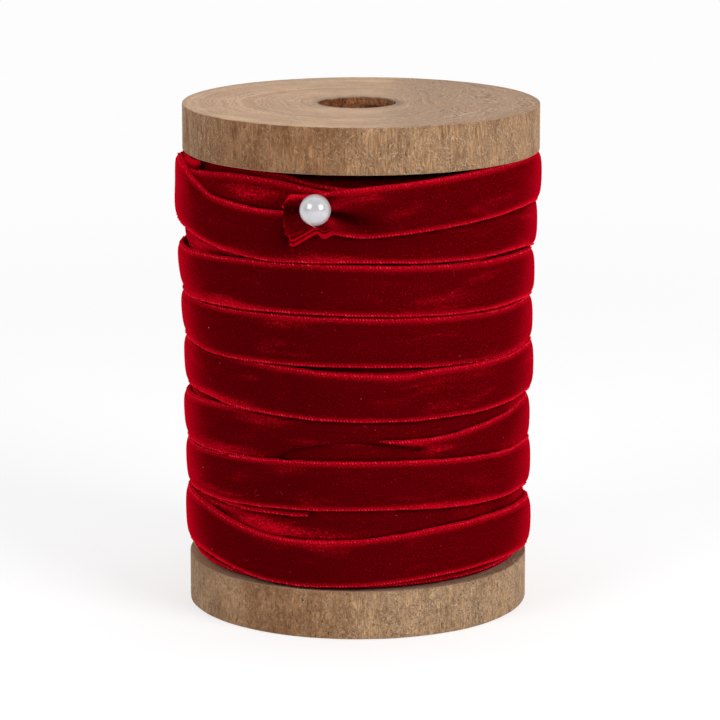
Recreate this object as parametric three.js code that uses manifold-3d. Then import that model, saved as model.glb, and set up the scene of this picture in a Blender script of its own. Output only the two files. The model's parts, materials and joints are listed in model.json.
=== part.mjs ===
// A roll of narrow velvet ribbon on a wooden spool, standing upright.
// Millimetres, +Z up. The spool stands on Z = 0 and its front is towards -Y.
// The spool is built round its own axis and then set back a little, because the
// pin's head reaches out in front and the origin is the middle of the whole footprint.
import * as THREE from 'three';
import { mergeVertices } from 'three/addons/utils/BufferGeometryUtils.js';
import Module from 'manifold-3d';

const wasm = await Module();
wasm.setup();

// Spool
const SPOOL_HEIGHT = 99.8;
const BASE_DISC = { radius: 33.65, thickness: 9.5, offsetX: 0, offsetY: 0 };
const TOP_DISC = { radius: 35, thickness: 9.1, offsetX: 0.7, offsetY: 0 };
const RIM_ROUNDING = 0.5;
const BORE_RADIUS = 7.7;
const BORE = { x: -0.2, y: -1.2 };
const BARREL_RADIUS = 16;
const SPOOL_SET_BACK = 2.4;
const CLEARANCE = 0.3;

// Ribbon
const RIBBON_WIDTH = 10;
const RIBBON_THICKNESS = 1;
const EDGE_DROP = 0.95;
const LEFT_LEAN = 0.5;
const RIGHT_LEAN = 0.15;
const ROLL_BOTTOM = BASE_DISC.thickness + CLEARANCE;
const ROLL_TOP = 89.4;
const ROLL_COLUMNS = 72;
const ROLL_ROWS = 62;

// Height of the middle of each turn of the outer layer, from the top turn down, at each of
// STATION_AZIMUTHS, and then its outer radius at the left and at the right side of the roll.
// A turn ends behind the roll where the next one begins.
const STATION_AZIMUTHS = [-180, -75, -45, 0, 45, 75];
const TURN_COLUMNS = ['back', 'left', 'frontLeft', 'front', 'frontRight', 'right', 'leftRadius', 'rightRadius'];
const TURNS = [
  [85.0, 82.2, 79.4, 78.8, 78.0, 77.8, 35.6, 34.7],
  [73.2, 68.3, 68.3, 68.6, 67.6, 67.3, 35.2, 35.0],
  [63.3, 58.7, 58.3, 58.5, 57.6, 57.7, 34.8, 34.7],
  [54.0, 49.6, 48.7, 47.9, 47.9, 48.5, 34.6, 34.5],
  [43.8, 38.4, 38.7, 44.3, 45.6, 45.2, 34.3, 33.4],
  [40.5, 36.6, 35.2, 34.5, 35.5, 37.3, 33.3, 34.2],
  [33.2, 29.2, 29.6, 30.6, 29.9, 30.0, 34.2, 34.3],
  [24.6, 18.8, 16.2, 15.3, 16.9, 16.9, 34.3, 34.2],
  [16.0, 15.3, 15.2, 14.9, 15.2, 15.6, 32.6, 32.6],
].map((row) => Object.fromEntries(TURN_COLUMNS.map((column, k) => [column, row[k]])));
const LOWEST_END = 15.8;

// Radius of the turns that lie under the outer layer, by height and side.
const UNDER_TURNS = { low: 33.0, high: 33.6, lowZ: 12, highZ: 78 };
const TOP_SHELF = { fromZ: 80, toZ: 84, leftRadius: 34.0, otherRadius: 31.8, leftFrom: -110, leftTo: -22, blend: 16 };

// The loose end: its upper and lower edge at each azimuth, gathered where the pin holds it.
const TAIL = [
  { azimuth: -22, top: 86.9, bottom: 78.4 },
  { azimuth: -18, top: 87.1, bottom: 79.2 },
  { azimuth: -13, top: 87.0, bottom: 80.0 },
  { azimuth: -7, top: 87.6, bottom: 79.5 },
  { azimuth: 0, top: 88.2, bottom: 79.0 },
  { azimuth: 15, top: 89.2, bottom: 79.2 },
  { azimuth: 30, top: 89.9, bottom: 79.9 },
  { azimuth: 50, top: 90.3, bottom: 80.7 },
  { azimuth: 75, top: 90.4, bottom: 81.2 },
  { azimuth: 120, top: 90.3, bottom: 80.6 },
  { azimuth: 178, top: 89.8, bottom: 79.9 },
];
const TAIL_INNER_RADIUS = 35.0;
const TAIL_STEP = 5;
const TAIL_ACROSS = 8;
const TAIL_BRIDGE = { up: 1.6, around: 6, samples: 5 };

// Pin: a pearl head on a thin steel shaft that slants in under the wound layers.
const PEARL_RADIUS = 2.95;
const PEARL = { azimuth: -12, z: 84.9, radius: 39.5 };
const PIN_SLANT = 34;
const PIN_DIP = 2;
const PIN_SHAFT = { radius: 0.35, length: 36, start: 0.9, sides: 8 };

const degrees = (value) => (value * Math.PI) / 180;

const MATERIALS = {
  wood: new THREE.MeshStandardMaterial({ name: 'wood', color: 0xb08a63, roughness: 0.72, metalness: 0 }),
  barrelWood: new THREE.MeshStandardMaterial({ name: 'barrel_wood', color: 0x94704d, roughness: 0.8, metalness: 0 }),
  velvet: new THREE.MeshStandardMaterial({ name: 'velvet', color: 0x8a0012, roughness: 0.85, metalness: 0 }),
  pearl: new THREE.MeshStandardMaterial({ name: 'pearl', color: 0xe6e3e4, roughness: 0.2, metalness: 0 }),
  steel: new THREE.MeshStandardMaterial({ name: 'steel', color: 0xb9bcc0, roughness: 0.3, metalness: 1 }),
};

// A point on the roll, from its azimuth (0 at the front, growing to the right), radius and height.
function onRoll(azimuth, radius, z) {
  const angle = degrees(azimuth);
  return new THREE.Vector3(radius * Math.sin(angle), -radius * Math.cos(angle), z);
}

function smoothStep(from, to, value) {
  const t = Math.min(Math.max((value - from) / (to - from), 0), 1);
  return t * t * (3 - 2 * t);
}

// A smooth line through named stations: each station is [position, value].
function alongStations(stations, position) {
  let i = 0;
  while (i < stations.length - 2 && position > stations[i + 1][0]) {
    i += 1;
  }
  const [p0, v0] = stations[i];
  const [p1, v1] = stations[i + 1];
  const slopeAt = (k) => {
    const before = stations[Math.max(k - 1, 0)];
    const after = stations[Math.min(k + 1, stations.length - 1)];
    return (after[1] - before[1]) / (after[0] - before[0]);
  };
  const span = p1 - p0;
  const t = Math.min(Math.max((position - p0) / span, 0), 1);
  const rise = v1 - v0;
  const startSlope = slopeAt(i) * span;
  const endSlope = slopeAt(i + 1) * span;
  return v0 + t * (startSlope + t * ((3 * rise - 2 * startSlope - endSlope) + t * (startSlope + endSlope - 2 * rise)));
}

function turnStations(index) {
  const turn = TURNS[index];
  const heights = [turn.back, turn.left, turn.frontLeft, turn.front, turn.frontRight, turn.right];
  const stations = STATION_AZIMUTHS.map((azimuth, k) => [azimuth, heights[k]]);
  const nextBack = index + 1 < TURNS.length ? TURNS[index + 1].back : LOWEST_END;
  stations.push([180, nextBack]);
  return stations;
}

const TURN_STATIONS = TURNS.map((_, index) => turnStations(index));

function turnRadius(turn, azimuth) {
  const middle = (turn.leftRadius + turn.rightRadius) / 2;
  return alongStations([[-180, middle], [-75, turn.leftRadius], [75, turn.rightRadius], [180, middle]], azimuth);
}

// Radius of the layers under the outer one. They end in a deep shelf below the top disc.
function underRadius(azimuth, z) {
  const { low, high, lowZ, highZ } = UNDER_TURNS;
  const body = low + (high - low) * smoothStep(lowZ, highZ, z);
  const { leftFrom, leftTo, blend, leftRadius, otherRadius, fromZ, toZ } = TOP_SHELF;
  const left = smoothStep(leftFrom - blend, leftFrom, azimuth) * (1 - smoothStep(leftTo, leftTo + blend, azimuth));
  const shelf = otherRadius + (leftRadius - otherRadius) * left;
  return body + (shelf - body) * smoothStep(fromZ, toZ, z);
}

// Radius of the wound roll: the highest of all the turns that pass this place.
function rollRadius(azimuth, z) {
  let radius = underRadius(azimuth, z);
  const half = RIBBON_WIDTH / 2;
  const lean = LEFT_LEAN + (RIGHT_LEAN - LEFT_LEAN) * smoothStep(-60, 30, azimuth);
  TURNS.forEach((turn, index) => {
    const across = (z - alongStations(TURN_STATIONS[index], azimuth)) / half;
    if (Math.abs(across) <= 1) {
      const surface = turnRadius(turn, azimuth) + lean * across - EDGE_DROP * Math.abs(across) ** 3;
      radius = Math.max(radius, surface);
    }
  });
  return radius;
}

// Moves a row of the roll's grid onto the edge of a turn that runs close by, so that the
// groove between two turns stays sharp.
function snapToEdge(azimuth, z, spacing) {
  let nearest = z;
  let distance = spacing / 2;
  TURN_STATIONS.forEach((stations) => {
    const middle = alongStations(stations, azimuth);
    [middle + RIBBON_WIDTH / 2, middle - RIBBON_WIDTH / 2].forEach((edge) => {
      if (Math.abs(edge - z) < distance) {
        distance = Math.abs(edge - z);
        nearest = edge;
      }
    });
  });
  return nearest;
}

function geometryFrom(positions, faces) {
  const geometry = new THREE.BufferGeometry();
  geometry.setAttribute('position', new THREE.Float32BufferAttribute(positions, 3));
  geometry.setIndex(faces);
  geometry.computeVertexNormals();
  return geometry;
}

// Two triangles for a four-cornered face, its corners anticlockwise from outside.
function pushQuad(faces, a, b, c, d) {
  faces.push(a, b, c, a, c, d);
}

// The wound roll: a thick ring whose outer face follows the turns.
function rollGeometry() {
  const positions = [];
  const faces = [];
  const ring = ROLL_ROWS + 3;
  const innerRadius = BARREL_RADIUS + CLEARANCE;
  const spacing = (ROLL_TOP - ROLL_BOTTOM) / ROLL_ROWS;
  for (let i = 0; i < ROLL_COLUMNS; i += 1) {
    const azimuth = -180 + (360 * i) / ROLL_COLUMNS;
    for (let j = 0; j <= ROLL_ROWS; j += 1) {
      const level = ROLL_BOTTOM + spacing * j;
      const atEnd = j === 0 || j === ROLL_ROWS;
      const z = atEnd ? level : snapToEdge(azimuth, level, spacing);
      positions.push(...onRoll(azimuth, rollRadius(azimuth, z), z).toArray());
    }
    positions.push(...onRoll(azimuth, innerRadius, ROLL_TOP).toArray());
    positions.push(...onRoll(azimuth, innerRadius, ROLL_BOTTOM).toArray());
  }
  for (let i = 0; i < ROLL_COLUMNS; i += 1) {
    const here = i * ring;
    const next = ((i + 1) % ROLL_COLUMNS) * ring;
    for (let j = 0; j < ring; j += 1) {
      const up = (j + 1) % ring;
      pushQuad(faces, here + j, next + j, next + up, here + up);
    }
  }
  return geometryFrom(positions, faces);
}

// The radius that the loose end needs to lie over the roll without touching it.
function tailInnerRadius(azimuth, z) {
  let highest = TAIL_INNER_RADIUS;
  const { up, around, samples } = TAIL_BRIDGE;
  for (let i = 0; i < samples; i += 1) {
    for (let j = 0; j < samples; j += 1) {
      const sideways = around * ((2 * i) / (samples - 1) - 1);
      const upwards = up * ((2 * j) / (samples - 1) - 1);
      highest = Math.max(highest, rollRadius(azimuth + sideways, z + upwards) + CLEARANCE);
    }
  }
  return highest;
}

// The loose end: a thin sheet round the upper part of the roll.
function tailGeometry() {
  const tops = TAIL.map((row) => [row.azimuth, row.top]);
  const bottoms = TAIL.map((row) => [row.azimuth, row.bottom]);
  const first = TAIL[0].azimuth;
  const last = TAIL[TAIL.length - 1].azimuth;
  const steps = Math.round((last - first) / TAIL_STEP);
  const positions = [];
  const faces = [];
  const across = TAIL_ACROSS + 1;
  const section = 2 * across;
  for (let i = 0; i <= steps; i += 1) {
    const azimuth = first + ((last - first) * i) / steps;
    const top = alongStations(tops, azimuth);
    const bottom = alongStations(bottoms, azimuth);
    const outer = [];
    const inner = [];
    for (let j = 0; j < across; j += 1) {
      const z = bottom + ((top - bottom) * j) / TAIL_ACROSS;
      const radius = tailInnerRadius(azimuth, z);
      outer.push(onRoll(azimuth, radius + RIBBON_THICKNESS, z));
      inner.unshift(onRoll(azimuth, radius, z));
    }
    [...outer, ...inner].forEach((point) => positions.push(...point.toArray()));
  }
  for (let i = 0; i < steps; i += 1) {
    const here = i * section;
    const next = here + section;
    for (let j = 0; j < section; j += 1) {
      const up = (j + 1) % section;
      pushQuad(faces, here + j, next + j, next + up, here + up);
    }
  }
  const end = steps * section;
  for (let j = 0; j < across - 1; j += 1) {
    const opposite = section - 1 - j;
    pushQuad(faces, j, j + 1, opposite - 1, opposite);
    pushQuad(faces, end + opposite, end + opposite - 1, end + j + 1, end + j);
  }
  return geometryFrom(positions, faces);
}

// A manifold solid from a geometry, with its shared corners merged.
function toSolid(geometry) {
  const bare = new THREE.BufferGeometry();
  bare.setAttribute('position', geometry.getAttribute('position').clone());
  bare.setIndex(geometry.getIndex());
  const merged = mergeVertices(bare, 1e-4);
  return new wasm.Manifold(new wasm.Mesh({
    numProp: 3,
    vertProperties: new Float32Array(merged.getAttribute('position').array),
    triVerts: new Uint32Array(merged.getIndex().array),
  }));
}

function fromSolid(solid) {
  const mesh = solid.getMesh();
  return geometryFrom(Array.from(mesh.vertProperties), Array.from(mesh.triVerts));
}

// A round bar with closed ends from one point to another.
function barGeometry(from, to, radius, sides) {
  const along = new THREE.Vector3().subVectors(to, from);
  const bar = new THREE.CylinderGeometry(radius, radius, along.length(), sides, 1);
  const turn = new THREE.Quaternion().setFromUnitVectors(new THREE.Vector3(0, 1, 0), along.clone().normalize());
  bar.applyQuaternion(turn);
  const middle = new THREE.Vector3().addVectors(from, to).multiplyScalar(0.5);
  bar.translate(middle.x, middle.y, middle.z);
  return bar;
}

// A disc with rounded rims, pierced by the bore.
function discGeometry(disc, bottom) {
  const profile = [
    [0, 0],
    [disc.radius - RIM_ROUNDING, 0],
    [disc.radius - 0.3 * RIM_ROUNDING, 0.3 * RIM_ROUNDING],
    [disc.radius, RIM_ROUNDING],
    [disc.radius, disc.thickness - RIM_ROUNDING],
    [disc.radius - 0.3 * RIM_ROUNDING, disc.thickness - 0.3 * RIM_ROUNDING],
    [disc.radius - RIM_ROUNDING, disc.thickness],
    [0, disc.thickness],
  ];
  const disk = new THREE.LatheGeometry(profile.map(([x, y]) => new THREE.Vector2(x, y)), 72);
  disk.rotateX(Math.PI / 2);
  disk.translate(disc.offsetX, disc.offsetY, bottom);
  return cutBore(disk, bottom, bottom + disc.thickness);
}

// The barrel between the discs, pierced by the same bore.
function barrelGeometry() {
  const bottom = BASE_DISC.thickness + CLEARANCE;
  const top = SPOOL_HEIGHT - TOP_DISC.thickness - CLEARANCE;
  const barrel = barGeometry(new THREE.Vector3(0, 0, bottom), new THREE.Vector3(0, 0, top), BARREL_RADIUS, 48);
  return cutBore(barrel, bottom, top);
}

function cutBore(geometry, bottom, top) {
  const from = new THREE.Vector3(BORE.x, BORE.y, bottom - 1);
  const to = new THREE.Vector3(BORE.x, BORE.y, top + 1);
  const bore = barGeometry(from, to, BORE_RADIUS, 36);
  return fromSolid(toSolid(geometry).subtract(toSolid(bore)));
}

// The pin runs from the pearl's middle, turned away from the axis by its slant and dipping a little.
function pinLine() {
  const head = onRoll(PEARL.azimuth, PEARL.radius, PEARL.z);
  const inward = onRoll(PEARL.azimuth + 180 - PIN_SLANT, Math.cos(degrees(PIN_DIP)), -Math.sin(degrees(PIN_DIP)));
  const at = (distance) => head.clone().addScaledVector(inward, distance);
  return { head, at };
}

// The pearl head, with the blind hole that takes the shaft's end.
function pearlGeometry() {
  const { head, at } = pinLine();
  const { start, radius, sides } = PIN_SHAFT;
  const pearl = new THREE.SphereGeometry(PEARL_RADIUS, 24, 16);
  pearl.translate(head.x, head.y, head.z);
  const socket = barGeometry(at(start - CLEARANCE), at(PEARL_RADIUS + 1), radius + CLEARANCE, sides);
  return fromSolid(toSolid(pearl).subtract(toSolid(socket)));
}

function shaftGeometry() {
  const { at } = pinLine();
  const { start, length, radius, sides } = PIN_SHAFT;
  return barGeometry(at(start), at(length), radius, sides);
}

// The hole that the pin makes in the ribbon it passes through.
function pierce(geometry) {
  const { at } = pinLine();
  const path = barGeometry(at(0), at(PIN_SHAFT.length + CLEARANCE), PIN_SHAFT.radius + CLEARANCE, PIN_SHAFT.sides);
  return fromSolid(toSolid(geometry).subtract(toSolid(path)));
}

function piece(name, geometry, material) {
  const mesh = new THREE.Mesh(geometry, material);
  mesh.name = name;
  return mesh;
}

const group = new THREE.Group();
group.name = 'velvet_ribbon_on_spool';
group.add(
  piece('base_disc', discGeometry(BASE_DISC, 0), MATERIALS.wood),
  piece('top_disc', discGeometry(TOP_DISC, SPOOL_HEIGHT - TOP_DISC.thickness), MATERIALS.wood),
  piece('barrel', barrelGeometry(), MATERIALS.barrelWood),
  piece('ribbon_roll', pierce(rollGeometry()), MATERIALS.velvet),
  piece('ribbon_tail', pierce(tailGeometry()), MATERIALS.velvet),
  piece('pin_head', pearlGeometry(), MATERIALS.pearl),
  piece('pin_shaft', shaftGeometry(), MATERIALS.steel),
);
group.position.set(0, SPOOL_SET_BACK, 0);

export default group;
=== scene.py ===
"""Looks of a roll of narrow velvet ribbon wound on a wooden spool, with a pearl-headed pin in its loose end.

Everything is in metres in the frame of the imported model, +Z up, with the front of the spool towards -Y.
Places on the roll are given by azimuth (degrees, 0 at the front and growing to the right), radius from the
spool's axis and height above the table, in millimetres, and are turned into metres where a mesh is made.
"""

import json
import logging
import math
from dataclasses import dataclass, field
from enum import Enum
from typing import Callable, Iterable, NamedTuple, Sequence

import bmesh
import bpy
import numpy as np
from bpy.types import ID, Material, Node, NodeSocket, NodeTree, Object
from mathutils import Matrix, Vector, noise

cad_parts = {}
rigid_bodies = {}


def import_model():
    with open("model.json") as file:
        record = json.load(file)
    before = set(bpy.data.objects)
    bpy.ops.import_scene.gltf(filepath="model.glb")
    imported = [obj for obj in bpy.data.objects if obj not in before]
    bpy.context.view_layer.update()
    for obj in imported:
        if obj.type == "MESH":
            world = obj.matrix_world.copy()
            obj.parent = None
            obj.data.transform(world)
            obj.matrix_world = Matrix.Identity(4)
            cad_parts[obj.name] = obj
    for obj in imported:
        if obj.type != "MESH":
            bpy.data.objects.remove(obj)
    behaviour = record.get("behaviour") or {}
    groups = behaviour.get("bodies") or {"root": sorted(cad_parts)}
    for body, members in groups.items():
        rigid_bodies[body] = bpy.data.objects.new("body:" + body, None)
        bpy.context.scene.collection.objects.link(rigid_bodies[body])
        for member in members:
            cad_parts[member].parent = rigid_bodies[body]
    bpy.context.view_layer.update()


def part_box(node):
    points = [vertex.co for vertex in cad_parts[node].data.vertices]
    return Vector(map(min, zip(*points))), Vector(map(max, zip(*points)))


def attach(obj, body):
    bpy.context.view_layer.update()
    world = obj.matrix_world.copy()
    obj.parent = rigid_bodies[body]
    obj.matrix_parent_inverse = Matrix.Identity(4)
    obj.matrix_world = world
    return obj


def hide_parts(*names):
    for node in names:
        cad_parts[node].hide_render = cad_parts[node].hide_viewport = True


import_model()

LOG = logging.getLogger("ribbon_roll")
Colour = tuple[float, float, float, float]
Triple = tuple[float, float, float]
MM = 0.001
BODY = "root"
WELD_DISTANCE = 1e-7
FLAT_EDGE = 1e-8
BORE_AT = (-0.2, -1.2)  # the bore's middle from the spool's axis, in millimetres
BORE_RADIUS = 7.7
LOW_CORNER, HIGH_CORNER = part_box("base_disc")
SPOOL_AXIS = (LOW_CORNER + HIGH_CORNER) / 2


class Slot(Enum):
    """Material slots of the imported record."""

    SPOOL_WOOD = "spool_wood"
    BARREL_WOOD = "barrel_wood"
    VELVET = "velvet"
    PEARL = "pearl"
    STEEL = "pin_steel"


class Edge(Enum):
    """The two woven edges of the ribbon, as the sign of the place across it."""

    LOWER = -1
    UPPER = 1


class Ends(Enum):
    """What becomes of the two ends of a tube."""

    OPEN = "open"
    JOINED = "joined"
    CAPPED = "capped"


def on_roll(azimuth: float | np.ndarray, radius: float | np.ndarray, height: float | np.ndarray) -> np.ndarray:
    """Points on the roll in metres.

    Args:
        azimuth: Degrees from the front, growing to the right.
        radius: Millimetres from the spool's axis.
        height: Millimetres above the table.

    Returns:
        An array whose last axis is x, y, z.
    """
    angle = np.radians(azimuth)
    x = SPOOL_AXIS.x + np.asarray(radius) * np.sin(angle) * MM
    y = SPOOL_AXIS.y - np.asarray(radius) * np.cos(angle) * MM
    z = np.asarray(height) * MM + np.zeros_like(x)
    return np.stack(np.broadcast_arrays(x, y, z), axis=-1)


def circle(middle: Sequence[float], radius: float | np.ndarray, z: float | np.ndarray, count: int) -> np.ndarray:
    """A level ring of points.

    Args:
        middle: Its middle from the spool's axis.
        radius: Its radius, which may differ from point to point.
        z: Its height, which may differ from point to point.
        count: Number of points.

    Returns:
        The points, in the unit they were asked for.
    """
    turn = np.linspace(0, 2 * np.pi, count, endpoint=False)
    return np.stack([middle[0] + radius * np.cos(turn), middle[1] + radius * np.sin(turn), z + 0 * turn], axis=1)


def in_frame(points: np.ndarray) -> np.ndarray:
    """Points in millimetres from the spool's axis, as metres in the model's frame."""
    return points * MM + np.array([SPOOL_AXIS.x, SPOOL_AXIS.y, 0.0])


def smooth_step(low: float, high: float, value: np.ndarray | float) -> np.ndarray:
    """Smooth ramp from 0 at low to 1 at high.

    Args:
        low: Where the ramp starts.
        high: Where it ends.
        value: Places to read.

    Returns:
        The ramp's height at each place.
    """
    t = np.clip((np.asarray(value, float) - low) / (high - low), 0, 1)
    return t * t * (3 - 2 * t)


def bell(distance: np.ndarray | float, width: float) -> np.ndarray:
    """A soft hump: 1 in its middle and almost 0 at twice its width."""
    return np.exp(-(distance / width) ** 2)


def smooth_line(places: Sequence[float], values: Sequence[float], at: np.ndarray) -> np.ndarray:
    """A smooth line through stations.

    Args:
        places: Growing places of the stations.
        values: The line's value at each station.
        at: Places to read.

    Returns:
        The line's value at each place.
    """
    p, v = np.asarray(places, float), np.asarray(values, float)
    chord = np.diff(v) / np.diff(p)
    slope = np.empty_like(v)
    slope[0], slope[-1] = chord[0], chord[-1]
    slope[1:-1] = (v[2:] - v[:-2]) / (p[2:] - p[:-2])
    k = np.clip(np.searchsorted(p, at, side="right") - 1, 0, len(p) - 2)
    span = p[k + 1] - p[k]
    t = np.clip((at - p[k]) / span, 0, 1)
    a, b = slope[k] * span, slope[k + 1] * span
    rise = v[k + 1] - v[k]
    return v[k] + t * (a + t * ((3 * rise - 2 * a - b) + t * (a + b - 2 * rise)))


def waviness(points: Iterable[Sequence[float]], scale: float, seed: float) -> np.ndarray:
    """Soft random heights from -1 to 1, the same on each run.

    Args:
        points: Places to read, in any unit.
        scale: Waves for each unit.
        seed: Moves to another part of the pattern.

    Returns:
        One height for each place.
    """
    return np.array([noise.noise(Vector((p[0] * scale + seed, p[1] * scale, p[2] * scale))) for p in points])


class Wave(NamedTuple):
    """One part of a rough surface: its waves for each unit, shift of the seed, height and upright stretch."""

    scale: float
    shift: float
    tall: float
    upright: float = 1.0


def waves(points: np.ndarray, seed: float, parts: Sequence[Wave]) -> np.ndarray:
    """Adds up several wavinesses.

    Args:
        points: Places to read.
        seed: Moves all of them to another part of the pattern.
        parts: What is added up.

    Returns:
        One height for each place.
    """
    return sum(waviness(points * [1, 1, part.upright], part.scale, seed + part.shift) * part.tall for part in parts)


def link_object(name: str, data: ID) -> Object:
    """Puts a mesh, a light or a camera into the scene, untransformed.

    Args:
        name: The object's name.
        data: What it holds.

    Returns:
        The linked object.
    """
    made = bpy.data.objects.new(name, data)
    bpy.context.scene.collection.objects.link(made)
    return made


def new_piece(name: str, points: np.ndarray, faces: Sequence[Sequence[int]],
              values: dict[str, np.ndarray] | None = None, weld: bool = False) -> Object:
    """A closed, smooth mesh at the origin, with its faces outwards.

    Args:
        name: The piece's name.
        points: Corner points in metres.
        faces: Corner numbers of each face.
        values: Numbers kept on the points, by attribute.
        weld: Whether points that lie on each other are merged.

    Returns:
        The linked object.
    """
    mesh = bpy.data.meshes.new(name)
    mesh.from_pydata([tuple(p) for p in np.asarray(points, float)], [], faces)
    mesh.update()
    work = bmesh.new()
    work.from_mesh(mesh)
    if weld:
        bmesh.ops.remove_doubles(work, verts=work.verts, dist=WELD_DISTANCE)
        bmesh.ops.dissolve_degenerate(work, edges=work.edges, dist=FLAT_EDGE)
    bmesh.ops.recalc_face_normals(work, faces=work.faces)
    work.to_mesh(mesh)
    work.free()
    mesh.shade_smooth()
    for label, numbers in (values or {}).items():
        layer = mesh.attributes.new(label, "FLOAT", "POINT")
        layer.data.foreach_set("value", np.asarray(numbers, np.float32))
    return link_object(name, mesh)


def tube_faces(rings: int, around: int, ends: Ends, first: int = 0) -> list[tuple[int, ...]]:
    """Faces of a tube of rings kept one after another.

    Args:
        rings: Number of rings.
        around: Points in each ring.
        ends: What becomes of its ends.
        first: Number of its first point.

    Returns:
        Corner numbers of each face.
    """
    total = rings * around
    faces = []
    for i in range(rings if ends is Ends.JOINED else rings - 1):
        for j in range(around):
            a, b = i * around + j, i * around + (j + 1) % around
            faces.append((a, (a + around) % total, (b + around) % total, b))
    if ends is Ends.CAPPED:
        faces += [tuple(range(around)), tuple(reversed(range(total - around, total)))]
    return [tuple(first + corner for corner in face) for face in faces]


def finish_piece(obj: Object, material: Material) -> Object:
    """Gives a piece its material and body, and reports it.

    Args:
        obj: The piece.
        material: Its material.

    Returns:
        The same piece.
    """
    obj.data.materials.clear()
    obj.data.materials.append(material)
    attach(obj, BODY)
    LOG.info("%s: %d faces", obj.name, len(obj.data.polygons))
    return obj


@dataclass(frozen=True)
class Noise:
    """A noise pattern.

    Attributes:
        scale: Waves for each unit of what it reads.
        detail: Number of finer layers.
        roughness: Weight of the finer layers.
        distortion: How far it is bent.
        stretch: Waves along each axis, as a share of the scale.
        shift: Moves it to another part of the pattern.
        limits: Low and high end that are drawn out to 0 and 1, or to two more numbers.
    """

    scale: float
    detail: float
    roughness: float = 0.6
    distortion: float = 0.0
    stretch: Triple = (1, 1, 1)
    shift: Triple = (0, 0, 0)
    limits: tuple[float, ...] = ()


def operator(operation: str, swapped: bool = False) -> Callable[["Wire", object], "Wire"]:
    """A Python operator that adds a Math node.

    Args:
        operation: The node's operation.
        swapped: Whether the other value comes first.

    Returns:
        The operator's method.
    """
    def apply(wire: "Wire", other: object) -> "Wire":
        """Adds the Math node."""
        return wire.bench.math(operation, *((other, wire) if swapped else (wire, other)))
    return apply


class Wire:
    """A node's output that can be reckoned with like a number."""

    def __init__(self, bench: "NodeBench", socket: NodeSocket) -> None:
        """Holds an output of a node on a bench."""
        self.bench, self.socket = bench, socket

    __add__ = __radd__ = operator("ADD")
    __mul__ = __rmul__ = operator("MULTIPLY")
    __sub__, __rsub__ = operator("SUBTRACT"), operator("SUBTRACT", swapped=True)
    __truediv__ = operator("DIVIDE")

    def __abs__(self) -> "Wire":
        """Its size without its sign."""
        return self.bench.math("ABSOLUTE", self)

    def clamped(self) -> "Wire":
        """The same, kept from 0 to 1."""
        self.socket.node.use_clamp = True
        return self

    def ramp(self, low: float, high: float, to_low: float = 0.0, to_high: float = 1.0) -> "Wire":
        """A smooth Map Range from low..high to to_low..to_high."""
        return self.bench.wire("ShaderNodeMapRange", dict(enumerate((self, low, high, to_low, to_high))),
                               interpolation_type="SMOOTHSTEP")


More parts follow.
